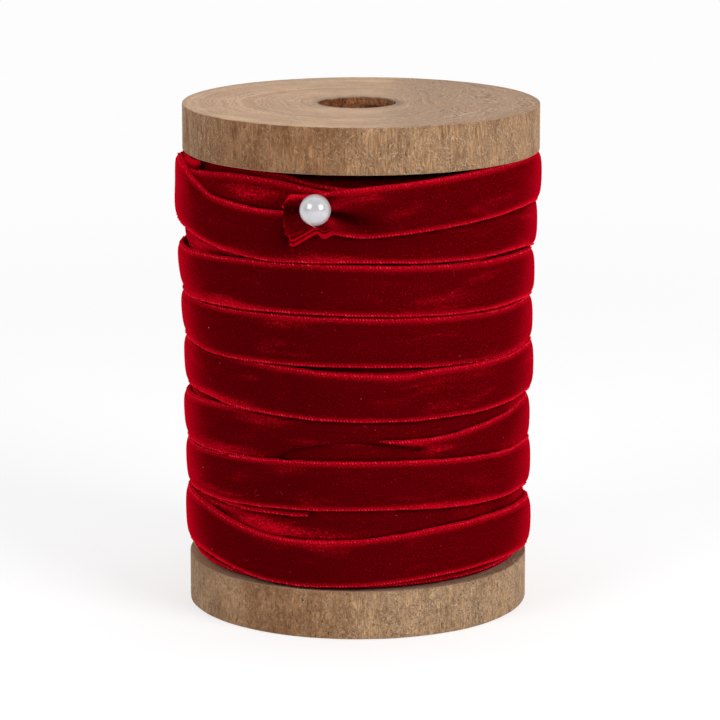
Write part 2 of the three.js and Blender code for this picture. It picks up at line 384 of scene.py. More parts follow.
class NodeBench:
    """Short calls that add and join nodes in one tree."""

    def __init__(self, tree: NodeTree) -> None:
        """Starts on a node tree."""
        self.tree = tree

    def add(self, kind: str, inputs: dict[str | int, object] | None = None, **settings: object) -> Node:
        """Adds a node.

        Args:
            kind: The node's type name.
            inputs: What goes into its inputs, by name or number.
            settings: Properties to set on it.

        Returns:
            The new node.
        """
        node = self.tree.nodes.new(kind)
        for key, value in settings.items():
            setattr(node, key, value)
        self.feed(node, inputs or {})
        return node

    def feed(self, node: Node, inputs: dict[str | int, object]) -> None:
        """Joins outputs to a node's inputs, or sets the inputs' own values.

        Args:
            node: The node.
            inputs: A wire, a number, a vector or a colour for each input, by name or number.
        """
        for key, value in inputs.items():
            if isinstance(value, Wire):
                self.tree.links.new(value.socket, node.inputs[key])
            else:
                node.inputs[key].default_value = value

    def wire(self, kind: str, inputs: dict[str | int, object] | None = None, output: str | int = 0,
             **settings: object) -> Wire:
        """Adds a node and gives one of its outputs.

        Args:
            kind: The node's type name.
            inputs: What goes into its inputs, by name or number.
            output: Name or number of the output.
            settings: Properties to set on it.

        Returns:
            The output.
        """
        return Wire(self, self.add(kind, inputs, **settings).outputs[output])

    def math(self, operation: str, *values: object) -> Wire:
        """The result of a Math node."""
        return self.wire("ShaderNodeMath", dict(enumerate(values)), operation=operation)

    def mix(self, factor: object, first: object, second: object, blend: str = "MIX") -> Wire:
        """A mix of two colours.

        Args:
            factor: Share of the second colour.
            first: First colour.
            second: Second colour.
            blend: How they are mixed.

        Returns:
            The mixed colour.
        """
        return self.wire("ShaderNodeMix", {0: factor, 6: first, 7: second}, 2, data_type="RGBA", blend_type=blend)

    def sum_of(self, *terms: tuple[Wire, float]) -> Wire:
        """Adds up wires, each with its weight.

        Args:
            terms: The wires and their weights.

        Returns:
            The sum.
        """
        total = terms[0][0] * terms[0][1]
        for wire, weight in terms[1:]:
            total = total + wire * weight
        return total

    def noise(self, where: Wire, pattern: Noise) -> Wire:
        """A noise pattern, read at a place.

        Args:
            where: Where it is read.
            pattern: The pattern.

        Returns:
            Its height, drawn out to the pattern's limits where it has them.
        """
        if pattern.stretch != (1, 1, 1) or pattern.shift != (0, 0, 0):
            where = self.mapping(where, pattern.shift, pattern.stretch)
        read = self.wire("ShaderNodeTexNoise", {
            "Vector": where, "Scale": pattern.scale, "Detail": pattern.detail, "Roughness": pattern.roughness,
            "Distortion": pattern.distortion}, "Fac")
        return read.ramp(*pattern.limits) if pattern.limits else read

    def mapping(self, vector: Wire, location: Triple = (0, 0, 0), scale: Triple = (1, 1, 1),
                rotation: Triple = (0, 0, 0)) -> Wire:
        """A vector that is stretched, turned and shifted.

        Args:
            vector: The vector.
            location: Shift.
            scale: Stretch.
            rotation: Turn in radians.

        Returns:
            The moved vector.
        """
        return self.wire("ShaderNodeMapping", {"Vector": vector, "Location": location, "Rotation": rotation,
                                               "Scale": scale})

    def object_coordinates(self) -> Wire:
        """Object coordinates of the piece."""
        return self.wire("ShaderNodeTexCoord", output="Object")

    def attribute(self, name: str) -> Wire:
        """A number kept on the mesh's points."""
        return self.wire("ShaderNodeAttribute", output="Fac", attribute_name=name)

    def length(self, vector: Wire) -> Wire:
        """Length of a vector."""
        return self.wire("ShaderNodeVectorMath", {0: vector}, "Value", operation="LENGTH")

    def part(self, vector: Wire, axis: str) -> Wire:
        """One part of a vector: X, Y or Z."""
        return self.wire("ShaderNodeSeparateXYZ", {0: vector}, axis)

    def vector(self, x: object, y: object, z: object) -> Wire:
        """A vector from three numbers."""
        return self.wire("ShaderNodeCombineXYZ", {0: x, 1: y, 2: z})

    def bump(self, height: Wire, distance: float, strength: float) -> Wire:
        """A normal bent by a height.

        Args:
            height: Height from 0 to 1.
            distance: How far 1 stands out, in metres.
            strength: Share of the bump that is used.

        Returns:
            The bent normal.
        """
        return self.wire("ShaderNodeBump", {"Height": height, "Distance": distance, "Strength": strength}, "Normal")


def start_material(name: str) -> tuple[Material, NodeBench, Node]:
    """A new material.

    Args:
        name: The material's name.

    Returns:
        The material, a bench on its tree and its Principled shader.
    """
    material = bpy.data.materials.new(name)
    material.use_nodes = True
    shader = next(n for n in material.node_tree.nodes if n.type == "BSDF_PRINCIPLED")
    return material, NodeBench(material.node_tree), shader


def start_group(name: str, numbers: Sequence[str], colours: Sequence[str],
                vectors: Sequence[str] = ()) -> tuple[NodeBench, dict[str, Wire]]:
    """A shader node group that gives a colour and a height.

    Args:
        name: The group's name.
        numbers: Names of its number inputs.
        colours: Names of its colour inputs.
        vectors: Names of its vector inputs.

    Returns:
        A bench on it, and its inputs by name.
    """
    group = bpy.data.node_groups.new(name, "ShaderNodeTree")
    for way, kind, labels in (("INPUT", "Float", numbers), ("INPUT", "Color", colours), ("INPUT", "Vector", vectors),
                              ("OUTPUT", "Color", ("Color",)), ("OUTPUT", "Float", ("Height",))):
        for label in labels:
            group.interface.new_socket(name=label, in_out=way, socket_type=f"NodeSocket{kind}")
    bench = NodeBench(group)
    sockets = bench.add("NodeGroupInput").outputs
    return bench, {label: Wire(bench, sockets[label]) for label in (*numbers, *colours, *vectors)}


UPRIGHT = {share: (1, 1, share) for share in (0.03, 0.11, 0.12, 0.45, 0.75, 0.8)}
WOOD_NOISE = {
    "rings": Noise(1.3, 3, 0.75, limits=(0.42, 0.6)),
    "bands": Noise(0.22, 2, limits=(0.4, 0.66)),
    "broken": Noise(120, 4, 0.6, 0.4, limits=(0.3, 0.62)),
    "patch": Noise(75, 4, 0.62, 0.6, limits=(0.36, 0.66)),
    "speck": Noise(2600, 3, 0.7),
    "drift": Noise(210, 3, 0.6, 0.8),
    "line": Noise(1.7, 2),
    "broad": Noise(150, 4, 0.6, 0.3, UPRIGHT[0.45]),
    "fine": Noise(3300, 3, 0.75, stretch=UPRIGHT[0.11], limits=(0.42, 0.64)),
    "long": Noise(1500, 2, stretch=UPRIGHT[0.03], limits=(0.42, 0.64)),
    "chip": Noise(850, 2, 0.6, 1.5, UPRIGHT[0.75]),
    "chip_shadow": Noise(850, 2, 0.6, 1.5, UPRIGHT[0.75], (0.00016, 0.00016, 0.00016)),
    "region": Noise(260, 3, limits=(0.38, 0.52)),
    "crumb": Noise(1500, 3, 0.7, stretch=UPRIGHT[0.8], limits=(0.35, 0.7)),
    "pit": Noise(1900, 2, stretch=UPRIGHT[0.45], limits=(0.68, 0.74)),
    "bow": Noise(38, 2, 0.5),
    "ripple": Noise(260, 3),
    "knot": Noise(210, 3),
    "sway": Noise(60, 3),
    "worn": Noise(420, 3, limits=(0.35, 0.8)),
    "stain": Noise(500, 3, limits=(0.2, 0.7, 0.5, 1.0)),
    "torn_bore": Noise(900, 4, 0.7, limits=(0.35, 0.6, 0.35, 1.0)),
}
RING_LINES = ((0.0, (0.11, 0.058, 0.032, 1), 0.95), (0.4, (0.72, 0.52, 0.37, 1), 0.5))  # shift, colour, strength
SWIRLED_FROM, SWIRLED_TO = 0.0, 0.02  # the right part of a cut face, in metres from the pith
KNOT_AT, KNOT_REACH, KNOT_PULL = (-0.0185, -0.002, 0), 0.013, 0.009
CHIP_COLOUR, PIT_COLOUR = (0.8, 0.56, 0.36, 1), (0.07, 0.032, 0.014, 1)
SIDE_RED = (0.7, 0.55, 0.42, 1)
RED_FROM_PITH, RED_REACH = 0.015, (0.004, 0.023, 1.0, 0.0)


def ring_distance(bench: NodeBench, where: Wire) -> Wire:
    """Distance that the growth rings follow: from the pith, bent softly and swirled round a knot.

    Args:
        bench: The bench to work on.
        where: Place from the pith in metres.

    Returns:
        The distance in metres.
    """
    slow = bench.mapping(where, scale=UPRIGHT[0.12])
    away = bench.length(bench.mapping(where, scale=(1, 1, 0))) + bench.noise(slow, WOOD_NOISE["bow"]) * 0.006
    away = away + bench.noise(slow, WOOD_NOISE["ripple"]) * 0.0008
    knot = bench.length(bench.mapping(where, KNOT_AT, (1, 0.8, 0)))
    swirl = knot.ramp(0.0, KNOT_REACH, 1.0, 0.0) * KNOT_PULL * (0.55 + bench.noise(slow, WOOD_NOISE["knot"]))
    along = bench.mapping(slow, scale=(1, 5, 1), rotation=(0, 0, 0.5))
    return away + swirl + bench.noise(along, WOOD_NOISE["sway"]) * 0.003


def grain_group() -> NodeTree:
    """Sawn wood: thin rings and a knot on its cut faces, and torn upright grain, chips and pits on its sides.

    Returns:
        The node group.
    """
    bench, given = start_group(
        "wood_grain", ("Ring Spacing", "Side", "Torn", "Pits", "Streaks", "Chips"),
        ("Top Light", "Top Dark", "Side Light", "Side Dark", "Grey"), ("Vector",))
    where, side = given["Vector"], given["Side"]

    def read(name: str, place: Wire = where) -> Wire:
        """Reads one of the wood's patterns."""
        return bench.noise(place, WOOD_NOISE[name])

    turns = ring_distance(bench, where) / given["Ring Spacing"]
    broken = 0.3 + read("broken") * 0.7
    ring = read("rings", bench.vector(turns, 0.0, 0.0)) * broken
    x = bench.part(where, "X")
    rightwards = x.ramp(SWIRLED_FROM, SWIRLED_TO)
    speck = read("speck")
    bands = read("bands", bench.vector(turns, 3.0, 0.0))
    share = bench.sum_of((ring, 0.6), (speck.ramp(0.4, 0.7), 0.35), (bands, 0.25)).clamped()
    top = bench.mix(share, given["Top Light"], given["Top Dark"])
    top = bench.mix(read("patch") * (0.35 + rightwards * 0.6), top, given["Grey"])
    top = bench.mix((rightwards * (0.6 + ring * 0.4)).clamped(), top, given["Top Dark"])
    drift = read("drift") * 7.0
    for shift, colour, strength in RING_LINES:
        line = read("line", bench.vector(turns + drift + shift, 7.0, 0.0))
        near = abs(line - 0.5).ramp(0.01, 0.085, strength, 0.0) * broken
        top = bench.mix(near * (rightwards * 0.8 + 0.2), top, colour)

    broad, region = read("broad"), read("region") * given["Chips"]
    chip, shadow = ((1.0 - abs(read(name) - 0.5).ramp(0.012, 0.045)) * region for name in ("chip", "chip_shadow"))
    torn = read("fine") * (1.0 - region * 0.35)
    share = bench.sum_of((torn, 0.6), (read("long"), 0.2)) * given["Streaks"]
    share = share + read("crumb") * (1.0 - given["Streaks"]) * 0.75
    share = (share + broad.ramp(0.42, 0.62) * 0.3).clamped()
    sides = bench.mix(share, given["Side Light"], given["Side Dark"])
    sides = bench.mix(shadow * 0.6, sides, given["Side Dark"])
    sides = bench.mix(chip * 0.55, sides, CHIP_COLOUR)
    middle = abs(x + RED_FROM_PITH).ramp(*RED_REACH) * broad.ramp(0.3, 0.6, 0.5, 1.0)
    sides = bench.mix(middle, sides, SIDE_RED, "MULTIPLY")

    pits = read("pit") * given["Pits"] * (0.12 + side * 0.88)
    colour = bench.mix(pits * 0.85, bench.mix(side, top, sides), PIT_COLOUR)
    rough = bench.sum_of((torn, 0.55), (chip, -0.5)) * (side * given["Torn"])
    height = 0.8 - rough - pits * 0.8 - ring * 0.09 - speck * 0.12
    bench.add("NodeGroupOutput", {"Color": colour, "Height": height})
    return bench.tree


RIBBON_HALF = 0.0049  # half the ribbon's width in metres, for the pattern across it
PILE_NOISE = {
    "tufts": Noise(2700, 2, 0.7),
    "soft": Noise(260, 3, stretch=(0.5, 1.6, 1)),
    "brushed": Noise(130, 5, 0.65, 0.5, (0.5, 2.0, 1)),
    "grains": Noise(2100, 3, 0.7, stretch=(0.7, 1, 1), limits=(0.35, 0.65)),
    "tips": Noise(3000, 2, shift=(0.11, 0.43, 0.1), limits=(0.64, 0.72)),
    "lint": Noise(1500, 1, 0.4, shift=(0.31, 0.17, 0.2), limits=(0.805, 0.85)),
    "red_specks": Noise(2500, 1, 0.4, shift=(0.71, 0.57, 0.3), limits=(0.755, 0.82)),
}
# Colours of lighter pile tips, lint and small bright red specks.
TIP_COLOUR, LINT_COLOUR, RED_SPECK_COLOUR = (0.62, 0.035, 0.06, 1), (0.55, 0.17, 0.16, 1), (0.75, 0.006, 0.02, 1)
PILE_SHADOW = (0.012, 0.0, 0.0002, 1)


def pile_group() -> NodeTree:
    """Cut pile of velvet, read along and across the ribbon: grain, patches, ground edge, and painted sheen, highlight
    and shade.

    Returns:
        The node group.
    """
    bench, given = start_group("velvet_pile", (
        "Along", "Across", "Patches", "Edge", "Grazing", "Lift", "Brushed", "Shade"), ("Deep", "Lit"))
    flat = bench.vector(given["Along"], given["Across"] * RIBBON_HALF, 0.0)
    tufts, soft, brushed, grains, tips, lint, red_specks = (bench.noise(flat, pattern) for pattern in PILE_NOISE.values())
    patch = brushed.ramp(0.52, 0.74) * given["Patches"]
    # The listed marks: laid-over pile and painted highlight above 0, painted shade below 0.
    patch = (patch + given["Brushed"] * brushed.ramp(0.35, 0.65, 0.35, 1.0)) * (0.15 + grains * 1.1)
    # Lighter towards the woven edges: the bare weave there, and painted sheen where the pile rolls over the edge.
    edge = (abs(given["Across"]) + (tufts - 0.5) * 0.1).ramp(0.7, 0.99) * given["Edge"]
    # Painted sheen at grazing views, and painted highlight and shade from Lift: crests lighter, hollows darker, plus a
    # share by azimuth.
    share = (soft - 0.5) * 0.16 + edge + patch + given["Grazing"] * 0.55 + given["Lift"] * 0.4
    share = (share + (tufts - 0.5) * 1.05).clamped()
    colour = bench.mix(share, given["Deep"], given["Lit"])
    colour = bench.mix(tips * share.ramp(0.15, 0.6, 0.12, 0.75), colour, TIP_COLOUR)
    colour = bench.mix(given["Shade"] * 0.85, colour, PILE_SHADOW)
    # Painted shade in the hollows of folds, less where a mark lights the pile.
    hollow = given["Lift"].ramp(-0.05, -0.6, 0.0, 0.8) * given["Brushed"].ramp(0.2, 0.8, 1.0, 0.1)
    colour = bench.mix(hollow, colour, PILE_SHADOW)
    colour = bench.mix(red_specks, bench.mix(lint, colour, LINT_COLOUR), RED_SPECK_COLOUR)
    bench.add("NodeGroupOutput", {"Color": colour, "Height": bench.sum_of((tufts, 0.35), (soft, 0.65))})
    return bench.tree


@dataclass(frozen=True)
class WoodFinish:
    """Bare sawn wood.

    Attributes:
        name: The material's name.
        top_light, top_dark: Its colours on cut faces.
        side_light, side_dark: Its colours on the sides.
        grey: Its weathered colour.
        relief: Depth of the grain in metres.
        torn, pits: Strength of the torn grain and of the pits.
        streaks, chips: Share of upright streaks, and of curled chips.
        ring_spacing: Growth ring width in metres.
        roughness: Roughness of its high grain.
    """

    name: str
    top_light: Colour
    top_dark: Colour
    side_light: Colour
    side_dark: Colour
    grey: Colour
    relief: float = 0.0005
    torn: float = 0.7
    pits: float = 0.8
    streaks: float = 1.0
    chips: float = 0.6
    ring_spacing: float = 0.00105
    roughness: float = 0.74

    def build(self, group: NodeTree) -> Material:
        """Makes the material.

        Args:
            group: The wood grain node group.

        Returns:
            The material.
        """
        material, bench, shader = start_material(self.name)
        pith = (-SPOOL_AXIS.x - BORE_AT[0] * MM, -SPOOL_AXIS.y - BORE_AT[1] * MM, 0)
        where = bench.mapping(bench.object_coordinates(), pith)
        grain = bench.add("ShaderNodeGroup", node_tree=group)
        bench.feed(grain, {"Vector": where, "Side": bench.attribute("side")})
        for label in grain.inputs.keys():
            if label not in ("Vector", "Side"):
                bench.feed(grain, {label: getattr(self, label.lower().replace(" ", "_"))})
        colour, height = (Wire(bench, grain.outputs[name]) for name in ("Color", "Height"))
        stained = (self.grey[0] * 0.62, self.grey[1] * 0.6, self.grey[2] * 0.62, 1)
        for mask, pattern, tint, blend in (("rim", "worn", self.side_dark, "MIX"), ("stain", "stain", stained, "MIX"),
                                           ("bored", "torn_bore", (0.85, 0.5, 0.32, 1), "MULTIPLY")):
            share = bench.attribute(mask) * bench.noise(where, WOOD_NOISE[pattern])
            colour = bench.mix(share, colour, tint, blend)
        bench.feed(shader, {"Base Color": colour, "Specular IOR Level": 0.3,
                            "Roughness": height.ramp(0.2, 1.0, self.roughness + 0.16, self.roughness),
                            "Normal": bench.bump(height, self.relief, 0.9)})
        return material


@dataclass(frozen=True)
class VelvetFinish:
    """Deep red cut-pile velvet.

    Attributes:
        name: The material's name.
        deep, lit: Colour looking down into the pile and at its tips; the mix between them also paints sheen, highlight
            and shade.
        patches: Strength of the random patches where the pile is laid over by brushing.
        edge: How much lighter the pile is towards the woven edges, for the bare weave and as painted sheen of the
            rolled pile.
        sheen_roughness: Spread of the sheen.
        sheen_tint: Colour of the sheen.
    """

    name: str = "red_velvet"
    deep: Colour = (0.075, 0.0, 0.001, 1)
    lit: Colour = (0.5, 0.001, 0.0105, 1)
    patches: float = 0.3
    edge: float = 0.75
    sheen_roughness: float = 0.3
    sheen_tint: Colour = (0.95, 0.002, 0.022, 1)

    def build(self, group: NodeTree) -> Material:
        """Makes the material.

        Args:
            group: The velvet pile node group.

        Returns:
            The material.
        """
        material, bench, shader = start_material(self.name)
        # Painted sheen: the pile is mixed towards its lit colour where its face is seen at a grazing angle.
        facing = bench.wire("ShaderNodeLayerWeight", {"Blend": 0.5}, "Facing")
        kept = {name: bench.attribute(name.lower()) for name in ("Along", "Across", "Lift", "Brushed", "Shade")}
        pile = bench.add("ShaderNodeGroup", node_tree=group)
        bench.feed(pile, {"Deep": self.deep, "Lit": self.lit, "Patches": self.patches, "Edge": self.edge,
                          "Grazing": facing.ramp(0.45, 1.0), **kept})
        bench.feed(shader, {"Base Color": Wire(bench, pile.outputs["Color"]), "Roughness": 0.95,
                            "Specular IOR Level": 0.0, "Sheen Weight": 1.0,
                            "Sheen Roughness": self.sheen_roughness, "Sheen Tint": self.sheen_tint,
                            "Normal": bench.bump(Wire(bench, pile.outputs["Height"]), 0.00025, 0.9)})
        return material


@dataclass(frozen=True)
class PearlFinish:
    """A white pearl bead with a soft nacre coat: its name and its two near whites."""

    name: str = "pearl_nacre"
    white: Colour = (0.55, 0.54, 0.56, 1)
    shade: Colour = (0.48, 0.47, 0.495, 1)

    def build(self) -> Material:
        """Makes the material.

        Returns:
            The material.
        """
        material, bench, shader = start_material(self.name)
        where = bench.object_coordinates()
        cloud = bench.noise(where, Noise(420, 3, 0.5, limits=(0.35, 0.7)))
        bench.feed(shader, {"Base Color": bench.mix(cloud, self.white, self.shade), "Roughness": 0.3,
                            "Specular IOR Level": 0.6, "Coat Weight": 1.0, "Coat Roughness": 0.19, "Coat IOR": 2.0,
                            "Subsurface Weight": 0.15, "Subsurface Radius": (0.001, 0.0008, 0.0007),
                            "Normal": bench.bump(bench.noise(where, Noise(2600, 2, 0.5)), 0.00001, 0.35)})
        return material


@dataclass(frozen=True)
class PlainFinish:
    """A plain finish that varies a little over the surface.

    Attributes:
        name: The material's name.
        first, second: The two colours it varies between.
        roughness: Its middle roughness.
        specular: Strength of its reflection.
        metallic: 1 for bare metal.
    """

    name: str
    first: Colour
    second: Colour
    roughness: float
    specular: float = 0.5
    metallic: float = 0.0

    def build(self) -> Material:
        """Makes the material.

        Returns:
            The material.
        """
        material, bench, shader = start_material(self.name)
        cloud = bench.noise(bench.object_coordinates(), Noise(900, 3, 0.55))
        bench.feed(shader, {"Base Color": bench.mix(cloud.ramp(0.35, 0.65), self.first, self.second),
                            "Roughness": cloud.ramp(0.3, 0.7, self.roughness - 0.06, self.roughness + 0.08),
                            "Metallic": self.metallic, "Specular IOR Level": self.specular,
                            "Normal": bench.bump(cloud, 0.00004, 0.5)})
        return material


STATIONS = (-180, -120, -75, -60, -45, -30, -15, 0, 15, 30, 45, 60, 75, 120)
RADIUS_STATIONS = (-180, -90, 0, 90)
LIP_ABOVE, LIP_SPREAD, LIP_SHARE = 2.2, 1.6, 0.7  # place and width of a crease's lip by its spread, and its height


@dataclass(frozen=True)
class Turn:
    """One turn of ribbon, from behind the roll round the front and back.

    Attributes:
        heights: Height of its middle at each of STATIONS.
        radii: Radius of its outer face at each of RADIUS_STATIONS.
        left_lean: How far its upper edge stands out beyond its middle at the left.
    """

    heights: tuple[float, ...]
    radii: tuple[float, ...]
    left_lean: float = 0.2


@dataclass(frozen=True)
class EdgePull:
    """A place where one edge of the ribbon is drawn in towards its middle.

    Attributes:
        turn: Number of the turn.
        edge: Which edge.
        azimuths: Stations along it.
        pulls: How far the edge is drawn in at the stations, in millimetres, less than 0 where it spreads.
        folded: Whether the edge is folded under, so that its weave doesn't show.
    """

    turn: int
    edge: Edge
    azimuths: tuple[float, ...]
    pulls: tuple[float, ...]
    folded: bool = False

    def at(self, azimuths: np.ndarray) -> np.ndarray:
        """How far the edge is drawn in at each azimuth."""
        return np.interp(azimuths, self.azimuths, self.pulls, left=0.0, right=0.0)


@dataclass(frozen=True)
class Crease:
    """A soft crease pressed into one turn, with a lip above it.

    Attributes:
        turn: Number of the turn.
        azimuths: Stations along it.
        heights: Its height at the stations.
        depths: Its depth at the stations, in millimetres.
        spread: Its width in millimetres.
    """

    turn: int
    azimuths: tuple[float, ...]
    heights: tuple[float, ...]
    depths: tuple[float, ...]
    spread: float = 0.35

    def relief(self, azimuth: float, z: np.ndarray) -> np.ndarray:
        """How far it moves the face of the ribbon outwards.

        Args:
            azimuth: Degrees round the roll.
            z: Height across the ribbon.

        Returns:
            Millimetres, at each height.
        """
        line = np.interp(azimuth, self.azimuths, self.heights)
        depth = np.interp(azimuth, self.azimuths, self.depths, left=0.0, right=0.0)
        lip = bell(z - line - LIP_ABOVE * self.spread, LIP_SPREAD * self.spread)
        return depth * (LIP_SHARE * lip - bell(z - line, self.spread))


@dataclass(frozen=True)
class Brushed:
    """A mark on the pile's colour: lighter as laid-over pile and painted highlight, darker as painted shade where its
    strength is below 0.

    Attributes:
        turn: Number of the turn.
        azimuth, height: Its middle.
        wide, tall: Its reach in degrees and in millimetres.
        strength: Share of lit pile in its middle; below 0 it darkens the pile as painted shade.
    """

    turn: int
    azimuth: float
    height: float
    wide: float
    tall: float
    strength: float

    def at(self, azimuth: float, z: np.ndarray) -> np.ndarray:
        """Its strength at each height of one azimuth."""
        return self.strength * bell(azimuth - self.azimuth, self.wide) * bell(z - self.height, self.tall)


# Places across the ribbon's face and back as shares of its half width, and the azimuths at which it is laid.
HALF_ACROSS = (0.12, 0.24, 0.36, 0.48, 0.6, 0.7, 0.79, 0.86, 0.915, 0.955, 0.98, 1.0)
ACROSS = np.array([-v for v in reversed(HALF_ACROSS)] + [0.0] + list(HALF_ACROSS))
UNDERSIDE = np.array([1.0, 0.5, 0.0, -0.5, -1.0])
AZIMUTHS = np.arange(-180, 180, 1.2)
# Sizes of the laid ribbon in millimetres.
PILE_ROLL, FOLDED_ROLL, SELVEDGE = 0.62, 0.08, 0.1  # how soon the pile rises from its edge, and the bare woven edge
CROWN, SIDE_CROWN = 0.5, 0.08  # how far the edges curl back, and how much more at the sides
SIDE_SPREAD = 55  # reach of the leans and crowns at the sides, in degrees
SIDE_NARROWING = 0.04
SHARP_BEFORE, SHARP_AFTER = 1, 1.5  # reach of a folded edge's sharp start, in degrees
FACE_WAVES = (Wave(0.05, 0, 0.12), Wave(0.16, 50, 0.05))
HEIGHT_WAVES = (Wave(0.021, 1.0, 0.16), Wave(0.09, 4.0, 0.06))
FRAY_SCALE, FRAY_PLACES, FRAY_DEPTH, FRAYED_FROM = 1.7, (9.0, 29.0), 0.14, 0.8
CUT_WAVES = ((8.0, 2.6, 6.0, 0.5), (18.0, 6.1, 2.0, 0.35))  # place, scale, seed, depth in degrees
CUT_REACH = 5
EASE, REACH, EASING_ROUNDS = 0.05, 0.3, 5  # gap over the turns below, and how far they are looked for
CRUSHED, LEAST_PILE, PILE_GAP = 0.34, 0.15, 0.03  # pile that holds up the next turn, and pile under it
SHADE_SPREAD, SHADE_GAP, COVER_REACH = np.full(9, 0.25), 0.5, 0.1  # shade under the turns that lie on top
OPEN_AIR = 1e3
LEVELS = np.arange(8, 94, 0.1)
ALONG_WEIGHTS = np.array([1, 2, 3, 2, 1]) / 9


@dataclass
class RibbonRun:
    """A length of ribbon wound round the roll.

    Attributes:
        name: The piece's name.
        turns: Its turns in order.
        end: Height and radius of the last turn's far end.
        first: Azimuth where the first turn starts.
        last: Azimuth where the last turn ends.
        pulls: Where an edge is drawn in.
        creases: Creases pressed into it.
        brushed: Marks on the pile's colour, from brushing and painted highlight, and painted shade where below 0.
        half_width: Half the ribbon's width.
        thickness: Thickness of the ribbon with its pile.
        ground: Thickness of its woven edge.
        step: Degrees between the rows of its mesh.
        seed: Moves its small waves to another part of the pattern.
    """

    name: str
    turns: Sequence[Turn]
    end: tuple[float, float]
    first: float = -180.0
    last: float = 180.0
    pulls: Sequence[EdgePull] = ()
    creases: Sequence[Crease] = ()
    brushed: Sequence[Brushed] = ()
    half_width: float = 4.93
    thickness: float = 0.85
    ground: float = 0.25
    step: float = 1.2
    seed: float = 0.0
    height: np.ndarray = field(init=False)
    radius: np.ndarray = field(init=False)
    base: np.ndarray = field(init=False)
    outer: np.ndarray = field(init=False)
    shade: np.ndarray = field(init=False)

    def lay_out(self) -> None:
        """Works out the height across the ribbon and its radius at each azimuth of each turn."""
        count = len(self.turns)
        self.height = np.empty((count, len(AZIMUTHS), len(ACROSS)))
        self.radius = np.empty((count, len(AZIMUTHS)))
        sideways = smooth_step(40, 80, np.abs(AZIMUTHS)) * (1 - smooth_step(100, 150, np.abs(AZIMUTHS)))
        for n in range(count):
            middle = self.through(n, "heights", STATIONS, self.end[0])
            self.radius[n] = self.through(n, "radii", RADIUS_STATIONS, self.end[1])
            slope = np.gradient(middle, np.radians(AZIMUTHS)) / self.radius[n]
            reach = self.half_width * (1 - SIDE_NARROWING * sideways) * np.sqrt(1 + slope ** 2)
            low, high = middle - reach, middle + reach
            for pull in self.pulls:
                if pull.turn == n:
                    drawn = pull.at(AZIMUTHS)
                    low, high = (low + drawn, high) if pull.edge is Edge.LOWER else (low, high - drawn)
            self.height[n] = (low + high)[:, None] / 2 + (high - low)[:, None] / 2 * ACROSS
        self.base, self.outer, self.shade = (np.zeros_like(self.height) for _ in range(3))

    def through(self, n: int, kind: str, stations: Sequence[float], end: float) -> np.ndarray:
        """A smooth line through one turn's stations that runs on into its neighbours.

        Args:
            n: Number of the turn.
            kind: Which of its values are read: heights or radii.
            stations: Azimuths of the stations.
            end: Value at the far end of the last turn.

        Returns:
            The line's value at each of AZIMUTHS.
        """
        places, line = list(stations), list(getattr(self.turns[n], kind))
        if n:
            places, line = [stations[-1] - 360] + places, [getattr(self.turns[n - 1], kind)[-1]] + line
        places.append(180)
        if n + 1 < len(self.turns):
            places.append(stations[1] + 360)
            line += getattr(self.turns[n + 1], kind)[:2]
        else:
            line.append(end)
        return smooth_line(places, line, AZIMUTHS)

    def pile(self, n: int, azimuth: float, half: float) -> np.ndarray:
        """Height of the pile over the woven ground, across the ribbon.

        Args:
            n: Number of the turn.
            azimuth: Degrees round the roll.
            half: Half its width here.

        Returns:
            Millimetres, at each of ACROSS.
        """
        from_edge = np.maximum((1 - np.abs(ACROSS)) * half - SELVEDGE, 0)
        sharp = any(p.folded and p.turn == n and p.azimuths[0] - SHARP_BEFORE < azimuth < p.azimuths[1] + SHARP_AFTER
                    for p in self.pulls)
        roll = np.where((ACROSS < 0) & sharp, FOLDED_ROLL, PILE_ROLL)
        return (self.thickness - self.ground) * (1 - np.exp(-from_edge / roll))

    def covers(self, n: int, azimuth: float) -> bool:
        """Whether the ribbon is there at this azimuth of this turn."""
        return (n > 0 or azimuth >= self.first) and (n < len(self.turns) - 1 or azimuth <= self.last)

    def at(self, values: np.ndarray, absolute: float) -> np.ndarray:
        """Reads values laid per turn and azimuth at any place along the run.

        Args:
            values: The laid values.
            absolute: Degrees along the run, the first turn's front being 0.

        Returns:
            The values across the ribbon there.
        """
        line = values.reshape(-1, values.shape[-1])
        place = (absolute + 180) / (AZIMUTHS[1] - AZIMUTHS[0])
        low = min(int(place), len(line) - 1)
        share = place - low
        return line[low] * (1 - share) + line[min(low + 1, len(line) - 1)] * share


